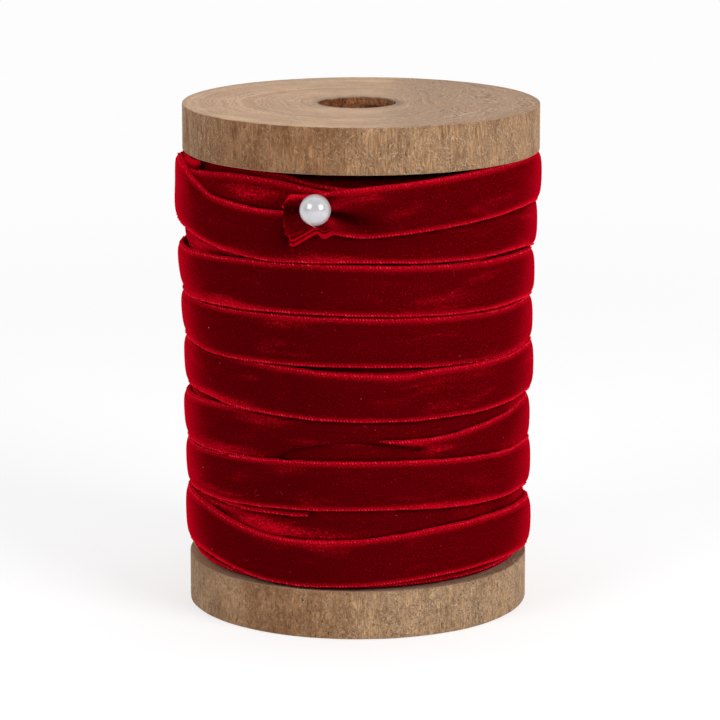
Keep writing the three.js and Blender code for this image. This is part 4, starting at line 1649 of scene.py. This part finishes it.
class RibbonRoll:
    """All the velvet on the spool: deep turns, under layer, outer layer with its pinned end, and woven edge loops."""

    def __init__(self, pin: Pin) -> None:
        """Lays the ribbon.

        Args:
            pin: The pin that holds the loose end.
        """
        self.pin = pin
        self.outer = RibbonRun("ribbon_outer_layer", OUTER_TURNS, (15.8, 32.6), first=-24.0, seed=3.0,
                               pulls=OUTER_PULLS, creases=CREASES, brushed=OUTER_BRUSHED_LIGHT_SHADE)
        self.under = RibbonRun("ribbon_under_layer", UNDER_TURNS, (85.0, 32.2), step=2.4, seed=23.0,
                               brushed=UNDER_BRUSHED_LIGHT_SHADE)
        self.lead = RibbonRun("ribbon_lead_end", LEAD_TURN, (86.0, 33.2), first=-150.0, last=-63.0, seed=31.0)
        self.edges: dict[Edge, list[np.ndarray]] = {}
        Winding([self.under, self.lead, self.outer], self.inner_radius)

    @staticmethod
    def inner_radius(level: np.ndarray) -> np.ndarray:
        """Radius of the deep turns at given heights."""
        groove = np.abs(np.sin(np.pi * (level - GROOVED_FROM) / TURN_PITCH))
        return DEEP_RADIUS + 0.5 * groove ** 0.5 - 0.3 * smooth_step(80, 86, level)

    def rows_along(self, run: RibbonRun) -> list[float]:
        """Places of the mesh rows of a run, in degrees along it.

        Args:
            run: The run of ribbon.

        Returns:
            The places, closer together at the pinned end.
        """
        last = 360.0 * (len(run.turns) - 1) + run.last
        if run is not self.outer:
            return list(np.arange(run.first, last + ROW_END, run.step))
        fine = list(np.arange(max(CUT_END_AZIMUTH), FINE_TO, FINE_STEP))
        return fine + list(np.arange(FINE_TO, last + ROW_END, run.step))

    def ribbon_mesh(self, run: RibbonRun, material: Material) -> Object:
        """The closed mesh of one run of ribbon, and its edge lines, which are kept for the loops.

        Args:
            run: The run, already laid.
            material: The velvet.

        Returns:
            The piece, with its place along and across kept on its points.
        """
        points, distance = [], 0.0
        kept = {name: [] for name in ("along", "across", "lift", "brushed", "shade")}
        self.edges = {edge: [] for edge in Edge}
        under = np.zeros(len(UNDERSIDE))
        places = self.rows_along(run)
        for absolute in places:
            outer, base, z, shift, raised = self.shape_row(run, absolute)
            azimuth = absolute + shift
            row = on_roll(azimuth, outer, z)
            back = on_roll(*(np.interp(UNDERSIDE, ACROSS, values) for values in (azimuth, base, z)))
            middle = row[len(ACROSS) // 2]
            distance += float(np.linalg.norm(middle - points[-1][len(ACROSS) // 2])) if points else 0.0
            points.append(np.concatenate([row, back]))
            shown = self.shown_across(run, absolute)
            # Painted light and shade: the folds' relief is kept as lift, which the velvet turns into lighter crests and
            # darker hollows, and a share by azimuth is added.
            raised = raised + np.interp(turn_and_azimuth(absolute)[1], PAINTED_LIGHT_AZIMUTHS, PAINTED_LIGHT_BY_AZIMUTH)
            for name, face, behind in (
                    ("along", distance + 0 * ACROSS, distance + under), ("across", shown, UNDERSIDE),
                    ("lift", raised, under), ("brushed", self.brushed_row(run, absolute, z), under),
                    ("shade", run.at(run.shade, absolute), under)):
                kept[name].append(np.concatenate([face, behind]))
            self.edges[Edge.LOWER].append((row[2] + row[3]) * 0.5 if shown[0] == -1 else back[2])
            self.edges[Edge.UPPER].append((row[-3] + row[-4]) * 0.5 if shown[-1] == 1 else back[2])
        columns = len(ACROSS) + len(UNDERSIDE)
        faces = tube_faces(len(places), columns, Ends.CAPPED)
        if run is self.outer:
            turned = self.turned_selvedge()
            wide = len(TURNED_PROFILE)
            faces += tube_faces(len(turned), wide, Ends.CAPPED, len(places) * columns)
            points += turned
            for i in range(len(turned)):
                given = {"along": np.full(wide, TURNED_ROW * i), "across": TURNED_ACROSS}
                for name, values in kept.items():
                    values.append(given.get(name, np.zeros(wide)))
        piece = new_piece(run.name, np.concatenate(points), faces,
                          {name: np.concatenate(values) for name, values in kept.items()})
        piece["length_m"] = distance
        return finish_piece(piece, material)

    @staticmethod
    def turned_selvedge() -> list[np.ndarray]:
        """The lower edge of the loose end, where it is folded under and peeps out below the pin.

        Returns:
            Its rows of points.
        """
        rows = []
        for azimuth in np.arange(TURNED_AZIMUTH[0], TURNED_AZIMUTH[-1] + ROW_END, 0.4):
            low = smooth_line(TURNED_AZIMUTH, TURNED_HEIGHT, azimuth)
            lift = 0.25 * smooth_step(-12, -16, azimuth) if azimuth < -12 else 0.0
            thin = 1 + 0.6 * smooth_step(-12.4, -11.2, azimuth)
            rows.append(np.array([on_roll(azimuth, radius + lift, low + (up * thin if up < 1.4 else up))
                                  for up, radius in TURNED_PROFILE]))
        return rows

    def shape_row(self, run: RibbonRun, absolute: float) -> tuple[np.ndarray, ...]:
        """One row of a run with its small waves, and on the loose end the folds at the pin and the ragged cut.

        Args:
            run: The run of ribbon.
            absolute: Degrees along the run.

        Returns:
            Radius of the face, radius of the back, height, shift in azimuth, and how far folds raise the ribbon, all
            across it.
        """
        outer, base, z = (run.at(values, absolute) for values in (run.outer, run.base, run.height))
        wave = waves(np.array([(absolute * 0.6, v * 5.0, run.seed) for v in ACROSS]), run.seed, FACE_WAVES)

        def sway(scale: float, shift: float) -> float:
            """A soft wave along the run."""
            return noise.noise(Vector((absolute * scale, run.seed, shift)))

        low, high = (sway(FRAY_SCALE, place) for place in FRAY_PLACES)
        fray = (low * (ACROSS < 0) + high * (ACROSS > 0)) * smooth_step(FRAYED_FROM, 1.0, np.abs(ACROSS))
        z = z + sum(sway(part.scale, part.shift) * part.tall for part in HEIGHT_WAVES) + FRAY_DEPTH * fray
        outer, base = outer + wave, base + wave
        turn, azimuth = turn_and_azimuth(absolute)
        shift, raised = np.zeros(len(ACROSS)), np.zeros(len(ACROSS))
        for crease in run.creases:
            if crease.turn == turn:
                raised = crease.relief(azimuth, z)
                outer = outer + raised
        if run is self.outer and absolute < FINE_TO:
            raised = self.folds_at_pin(absolute, z)
            outer, base = outer + raised, base + raised
            start = max(CUT_END_AZIMUTH)
            cut = np.interp(ACROSS, CUT_END_ACROSS, CUT_END_AZIMUTH) - start
            for place, scale, seed, depth in CUT_WAVES:
                cut += waviness([(v * 6.0, 3.0, place) for v in ACROSS], scale, seed) * depth
            shift = cut * (1 - smooth_step(start, start + CUT_REACH, absolute))
        return outer, base, z, shift, raised

    @staticmethod
    def brushed_row(run: RibbonRun, absolute: float, z: np.ndarray) -> np.ndarray:
        """How far the pile is lighter or darker across one row, from the listed marks: laid-over pile and painted
        highlight above 0, painted shade below 0.
        """
        turn, azimuth = turn_and_azimuth(absolute)
        return sum((mark.at(azimuth, z) for mark in run.brushed if mark.turn == turn), np.zeros(len(z)))

    @staticmethod
    def shown_across(run: RibbonRun, absolute: float) -> np.ndarray:
        """Place across the ribbon as its weave shows it, without the woven edge where that is folded under.

        Args:
            run: The run of ribbon.
            absolute: Degrees along the run.

        Returns:
            The place from -1 to 1, at each of ACROSS.
        """
        turn, azimuth = turn_and_azimuth(absolute)
        shown = ACROSS.copy()
        for pull in run.pulls:
            if pull.folded and pull.turn == turn and pull.at(azimuth) > FOLDED_FROM:
                shown = np.where(ACROSS * pull.edge.value > 0, ACROSS * (1 - FOLDED_NARROWING), shown)
        return shown

    def folds_at_pin(self, azimuth: float, z: np.ndarray) -> np.ndarray:
        """The gathers that run out from the pin.

        Args:
            azimuth: Degrees round the roll.
            z: Height across the ribbon.

        Returns:
            How far the ribbon stands out across it.
        """
        right = math.radians(azimuth - self.pin.azimuth) * PIN_FOLD_RADIUS
        up = z - (self.pin.height - MIDDLE_BELOW)
        distance = np.sqrt(right ** 2 + up ** 2)
        angle = np.degrees(np.arctan2(up, right))
        relief = BOSS_HEIGHT * bell(distance, BOSS_SPREAD)
        for fold in FOLDS:
            turn = (angle - fold.angle + 180) % 360 - 180
            fading = np.exp(-np.maximum(distance - FOLD_FULL, 0) / fold.reach)
            relief += fold.rise * bell(turn, fold.spread) * smooth_step(FOLD_START, FOLD_FULL, distance) * fading
        return np.maximum(relief, DEEPEST_FOLD) * (1 - smooth_step(12, 22, np.abs(right)))

    def inner_turns(self, material: Material, around: int = 240) -> Object:
        """The deep turns that close the roll behind the two outer layers.

        Args:
            material: The velvet.
            around: Points in each ring.

        Returns:
            The finished piece.
        """
        levels = np.arange(9.9, 89.6, 0.55)
        turn = np.linspace(-180, 180, around, endpoint=False)
        middle = (levels[0] + levels[-1]) / 2
        rows = [(CORE_RADIUS, levels[0])] + list(zip(self.inner_radius(levels), levels))
        rows += [(CORE_RADIUS, levels[-1]), (CORE_RADIUS, middle)]
        across = [2 * ((z - GROOVED_FROM) / TURN_PITCH % 1) - 1 for _, z in rows]
        piece = new_piece("ribbon_deep_turns", np.concatenate([on_roll(turn, radius, z) for radius, z in rows]),
                          tube_faces(len(rows), around, Ends.JOINED),
                          {"along": np.concatenate([np.radians(turn) * radius * MM for radius, _ in rows]),
                           "across": np.repeat(across, around)})
        return finish_piece(piece, material)

    def build(self, velvet: Material, loops: Material) -> None:
        """Makes every piece of ribbon.

        Args:
            velvet: The pile's material.
            loops: Material of the woven edge loops.
        """
        deep = self.inner_turns(velvet)
        under = self.ribbon_mesh(self.under, velvet)
        EdgeLoops("under_edge_loops", spacing=0.001).build(self.edges, loops)
        lead = self.ribbon_mesh(self.lead, velvet)
        outer = self.ribbon_mesh(self.outer, velvet)
        EdgeLoops("outer_edge_loops", spacing=0.00062).build(self.edges, loops)
        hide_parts("ribbon_roll", "ribbon_tail")
        LOG.info("outer run %.3f m, under run %.3f m", outer["length_m"], under["length_m"])


@dataclass(frozen=True)
class Fibre:
    """A loose hair lying on the roll.

    Attributes:
        azimuth, radius, height: Where it starts.
        heading: Its first direction, in degrees anticlockwise from straight right.
        curl: How far it turns along its length, in degrees.
        length: Its length in millimetres.
        thick: Its radius in millimetres.
        rise: How far its middle stands off the roll, in millimetres.
        count, around: Number of its rings, and of the points in each.
    """

    azimuth: float
    radius: float
    height: float
    heading: float
    curl: float
    length: float
    thick: float = 0.03
    rise: float = 0.35
    count: int = 14
    around: int = 5

    def rings(self) -> list[np.ndarray]:
        """Lays the hair over the roll.

        Returns:
            Rings of points along it, in metres.
        """
        rings, azimuth, height = [], self.azimuth, self.height
        step = self.length / (self.count - 1)
        for share in np.linspace(0, 1, self.count):
            heading = math.radians(self.heading + self.curl * share)
            middle = on_roll(azimuth, self.radius + self.rise * math.sin(math.pi * share), height)
            out = middle - np.array([SPOOL_AXIS.x, SPOOL_AXIS.y, middle[2]])
            out /= np.linalg.norm(out)
            right = np.array([-out[1], out[0], 0.0])
            across = -math.sin(heading) * right + math.cos(heading) * np.array([0, 0, 1.0])
            flat = circle((0, 0), self.thick * (1 - 0.6 * share) * MM, 0, self.around)
            rings.append(middle + flat[:, :2] @ np.array([out, across]))
            azimuth += math.degrees(math.cos(heading) * step / self.radius)
            height += math.sin(heading) * step
        return rings


FIBRES = (
    Fibre(26.5, 34.6, 38.6, 60, 190, 2.2),
    Fibre(22.5, 34.8, 46.2, 40, -150, 1.8),
    Fibre(3.0, 34.6, 41.9, 100, 120, 1.6),
    Fibre(-24.5, 34.9, 28.2, 80, 200, 2.4),
    Fibre(-33.0, 34.9, 27.6, 200, -190, 1.8),
    Fibre(31.0, 35.4, 71.0, 120, -40, 1.6),
)
PALE_FIBRES = (Fibre(-12.9, 42.0, 83.3, -50, 20, 2.0, 0.05),)


def build_fibres(name: str, fibres: Sequence[Fibre], material: Material) -> None:
    """Makes loose hairs as one piece.

    Args:
        name: The piece's name.
        fibres: The hairs.
        material: Their material.
    """
    points, faces = [], []
    for fibre in fibres:
        faces += tube_faces(fibre.count, fibre.around, Ends.CAPPED, sum(len(ring) for ring in points))
        points += fibre.rings()
    finish_piece(new_piece(name, np.concatenate(points), faces), material)


@dataclass(frozen=True)
class EdgeLoops:
    """Weft loops along a woven edge, made by Geometry Nodes.

    Attributes:
        name: Start of the pieces' names.
        spacing: Distance between loops in metres.
        size: Length of a loop in metres.
        seed: Seed of their small differences.
        least, most: Smallest and largest stretch of a loop.
        slant: How far the loops hang from the line of the edge.
    """

    name: str
    spacing: float
    size: float = 0.00045
    seed: int = 7
    least: Triple = (0.25, 0.4, 0.3)
    most: Triple = (1.7, 1.2, 1.25)
    slant: Triple = (0.0, 0.0, -0.75)

    def build(self, edges: dict[Edge, list[np.ndarray]], material: Material) -> None:
        """Makes the loops of both edges.

        Args:
            edges: Points of each edge line.
            material: The loops' material.
        """
        tree = self.tree(self.loop_mesh(material), material)
        for edge in Edge:
            line = self.edge_line(f"{self.name}_{edge.name.lower()}", np.array(edges[edge]))
            modifier = line.modifiers.new("loops", "NODES")
            modifier.node_group = tree
            given = {"Spacing": self.spacing, "Size": self.size, "Seed": self.seed + edge.value}
            for item in tree.interface.items_tree:
                if item.item_type == "SOCKET" and item.in_out == "INPUT" and item.name in given:
                    modifier[item.identifier] = given[item.name]
            made = bpy.data.meshes.new_from_object(line.evaluated_get(bpy.context.evaluated_depsgraph_get()))
            line.modifiers.remove(modifier)
            line.data = made
            made.name = line.name
            made.shade_smooth()
            finish_piece(line, material)

    @staticmethod
    def edge_line(name: str, points: np.ndarray) -> Object:
        """A line of edges along the ribbon's edge, with the direction out of the face kept on it.

        Args:
            name: The object's name.
            points: Points of the edge.

        Returns:
            The line as a mesh object.
        """
        outwards = (points - np.array([SPOOL_AXIS.x, SPOOL_AXIS.y, 0])) * [1, 1, 0]
        outwards /= np.linalg.norm(outwards, axis=1)[:, None]
        mesh = bpy.data.meshes.new(name)
        mesh.from_pydata([tuple(p) for p in points], [(i, i + 1) for i in range(len(points) - 1)], [])
        layer = mesh.attributes.new("outwards", "FLOAT_VECTOR", "POINT")
        layer.data.foreach_set("vector", outwards.astype(np.float32).ravel())
        return link_object(name, mesh)

    def loop_mesh(self, material: Material, sections: int = 5, around: int = 5) -> Object:
        """One loop of weft: a short bent yarn, one unit long.

        Args:
            material: The loop's material.
            sections: Number of its rings.
            around: Points in each ring.

        Returns:
            An object that is only used as an instance.
        """
        rings = []
        for t in np.linspace(0, 1, sections):
            thick = 0.34 * (0.35 + 0.65 * math.sin(math.pi * min(max(t, 0.06), 0.94)))
            rings.append(circle((0, math.sin(math.pi * t) * 0.35), thick, t - 0.5, around)[:, [2, 0, 1]])
        loop = new_piece(f"{self.name}_seed", np.concatenate(rings), tube_faces(sections, around, Ends.CAPPED))
        loop.data.materials.append(material)
        return loop

    def tree(self, loop: Object, material: Material) -> NodeTree:
        """The Geometry Nodes tree that sets loops along a line.

        Args:
            loop: The loop to repeat.
            material: The loops' material.

        Returns:
            The node tree.
        """
        tree = bpy.data.node_groups.new(f"{self.name}_tree", "GeometryNodeTree")
        for name, kind in (("Geometry", "Geometry"), ("Spacing", "Float"), ("Size", "Float"), ("Seed", "Int")):
            tree.interface.new_socket(name=name, in_out="INPUT", socket_type=f"NodeSocket{kind}")
        tree.interface.new_socket(name="Geometry", in_out="OUTPUT", socket_type="NodeSocketGeometry")
        bench = NodeBench(tree)
        geometry, spacing, size, seed = (Wire(bench, socket) for socket in bench.add("NodeGroupInput").outputs[:4])
        line = bench.wire("GeometryNodeMeshToCurve", {0: geometry})
        points = bench.wire("GeometryNodeResampleCurve", {"Curve": line, "Length": spacing}, mode="LENGTH")
        tangent = bench.wire("GeometryNodeInputTangent")
        slanted = bench.wire("ShaderNodeVectorMath", {0: tangent, 1: self.slant}, operation="ADD")
        outwards = bench.wire("GeometryNodeInputNamedAttribute", {"Name": "outwards"}, "Attribute",
                              data_type="FLOAT_VECTOR")
        turned = bench.wire("FunctionNodeAlignRotationToVector", {"Vector": slanted}, axis="X")
        turned = bench.wire("FunctionNodeAlignRotationToVector", {"Rotation": turned, "Vector": outwards}, axis="Z",
                            pivot_axis="X")
        stretch = bench.wire("FunctionNodeRandomValue", {"Min": self.least, "Max": self.most, "Seed": seed},
                             data_type="FLOAT_VECTOR")
        stretch = bench.wire("ShaderNodeVectorMath", {0: stretch, "Scale": size}, operation="SCALE")
        shape = bench.wire("GeometryNodeObjectInfo", {"Object": loop}, "Geometry")
        placed = bench.wire("GeometryNodeInstanceOnPoints", {
            "Points": points, "Instance": shape, "Rotation": turned, "Scale": stretch})
        real = bench.wire("GeometryNodeRealizeInstances", {0: placed})
        painted = bench.wire("GeometryNodeSetMaterial", {"Geometry": real, "Material": material})
        bench.add("NodeGroupOutput", {0: painted})
        return tree


@dataclass(frozen=True)
class Studio:
    """A white table, soft light from both sides and the camera. Sizes in metres.

    Attributes:
        camera_place: The camera, from the spool's axis.
        pitch: How far it looks down, in degrees.
        lens: Its lens in millimetres.
        table_half: Half the table's side.
        target: What the lights look at.
    """

    camera_place: Triple = (0.0004, -0.713, 0.2018)
    pitch: float = 12.18
    lens: float = 183.3
    table_half: float = 3.0
    target: Triple = (0, 0, 0.05)

    def build(self) -> None:
        """Makes the camera, the floor, the world and the lights."""
        self.camera()
        self.floor()
        self.world()
        self.softbox("left_softbox", -46, 33, 0.44, 3.0)
        self.softbox("right_softbox", 47, 29, 0.44, 4.9)
        self.softbox("top_fill", 20, 78, 0.6, 1.4, glossy=False)
        bpy.context.scene.view_settings.view_transform = "Standard"

    def camera(self) -> None:
        """Makes the camera at the photograph's place."""
        data = bpy.data.cameras.new("camera")
        data.lens, data.sensor_width, data.clip_start = self.lens, 36.0, 0.01
        made = link_object("camera", data)
        x, y, z = self.camera_place
        made.location = (x + SPOOL_AXIS.x, y + SPOOL_AXIS.y, z)
        made.rotation_euler = (math.radians(90 - self.pitch), 0, 0)
        bpy.context.scene.camera = made

    def floor(self) -> None:
        """Makes the white table."""
        half = self.table_half
        mesh = bpy.data.meshes.new("table")
        mesh.from_pydata([(-half, -half, 0), (half, -half, 0), (half, half, 0), (-half, half, 0)], [], [(0, 1, 2, 3)])
        mesh.update()
        material, bench, shader = start_material("white_table")
        far = bench.length(bench.object_coordinates()).ramp(0.12, 0.5)
        grey, black, dim, bright = ((v, v, v, 1) for v in (0.45, 0.0, 0.57, 0.98))
        bench.feed(shader, {"Base Color": bench.mix(far, grey, black), "Roughness": 1.0, "Specular IOR Level": 0.0,
                            "Emission Color": bench.mix(far, dim, bright), "Emission Strength": 1.0})
        mesh.materials.append(material)
        link_object("table", mesh)

    @staticmethod
    def world() -> None:
        """A plain white surround, brighter behind the roll than in front of it."""
        world = bpy.data.worlds.new("white_surround")
        bpy.context.scene.world = world
        world.use_nodes = True
        bench = NodeBench(world.node_tree)
        background = next(n for n in world.node_tree.nodes if n.type == "BACKGROUND")
        behind = bench.part(bench.object_coordinates(), "Y").ramp(-0.35, 0.35, 0.1, 0.85)
        seen = bench.wire("ShaderNodeLightPath", output="Is Camera Ray")
        bench.feed(background, {"Color": (1, 1, 1, 1), "Strength": behind * (1.0 - seen) + seen * 0.98})

    def softbox(self, name: str, azimuth: float, elevation: float, size: float, power: float,
                glossy: bool = True, distance: float = 0.9) -> None:
        """Makes a square area light that looks at the roll.

        Args:
            name: Its name.
            azimuth: Degrees from the front, growing to the right.
            elevation: Degrees up.
            size: Its side in metres.
            power: Watts.
            glossy: Whether shiny surfaces mirror it.
            distance: Metres from the roll.
        """
        data = bpy.data.lights.new(name, "AREA")
        data.shape, data.size, data.energy = "SQUARE", size, power
        made = link_object(name, data)
        a, e = math.radians(azimuth), math.radians(elevation)
        target = Vector(self.target)
        made.location = target + Vector((math.sin(a) * math.cos(e), -math.cos(a) * math.cos(e), math.sin(e))) * distance
        made.rotation_euler = (target - made.location).to_track_quat("-Z", "Y").to_euler()
        made.visible_glossy = glossy


def main() -> None:
    """Builds every piece in order and reports it."""
    logging.basicConfig(level=logging.INFO, format="%(name)s: %(message)s")
    Studio().build()
    grain, pile = grain_group(), pile_group()
    # The base's cut faces are darker than the top disc's: painted shade on its top face, which lies under the ribbon
    # roll.
    low_wood = WoodFinish("base_wood", (0.44, 0.27, 0.16, 1), (0.24, 0.13, 0.066, 1), (0.62, 0.385, 0.21, 1),
                          (0.19, 0.095, 0.045, 1), (0.36, 0.262, 0.185, 1), relief=0.0006, streaks=0.25, chips=1.0,
                          pits=1.0).build(grain)
    wood = WoodFinish("spool_wood", (0.64, 0.43, 0.28, 1), (0.33, 0.18, 0.095, 1), (0.55, 0.32, 0.165, 1),
                      (0.16, 0.068, 0.027, 1), (0.36, 0.262, 0.185, 1), streaks=0.7, chips=0.9).build(grain)
    rough_wood = WoodFinish("bore_wood", (0.3, 0.16, 0.085, 1), (0.1, 0.045, 0.02, 1), (0.28, 0.145, 0.075, 1),
                            (0.06, 0.026, 0.011, 1), (0.17, 0.095, 0.05, 1), torn=1.0, pits=1.0).build(grain)
    velvet = VelvetFinish().build(pile)
    # The weft loops are lighter red than the pile: their own red, made lighter to paint the glints where light catches
    # them.
    loops = PlainFinish("edge_weft", (0.62, 0.003, 0.018, 1), (0.82, 0.016, 0.04, 1), 0.9, 0.03).build()
    pearl = PearlFinish().build()
    steel = PlainFinish("pin_steel", (0.6, 0.6, 0.62, 1), (0.72, 0.72, 0.74, 1), 0.3, metallic=1.0).build()
    SpoolDisc("spool_top_disc", "top_disc", 35.0, 90.7, 99.8, (0.6, 0.0), 2.0).build(wood)
    SpoolDisc("spool_base_disc", "base_disc", 33.65, 0.0, 9.5, (0.0, 0.0), 60.0).build(low_wood)
    Barrel().build(rough_wood)
    pin = Pin()
    pin.build(pearl, steel)
    RibbonRoll(pin).build(velvet, loops)
    hairs = PlainFinish("loose_hair", (0.4, 0.008, 0.03, 1), (0.5, 0.02, 0.045, 1), 0.9, 0.05).build()
    build_fibres("loose_red_fibres", FIBRES, hairs)
    pale = PlainFinish("pale_fibre", (0.75, 0.6, 0.5, 1), (0.8, 0.5, 0.4, 1), 0.7).build()
    build_fibres("loose_pale_fibres", PALE_FIBRES, pale)
    for helper in [o for o in bpy.data.objects if o.name.endswith("_seed")]:
        bpy.data.objects.remove(helper)


if __name__ == "__main__":
    main()
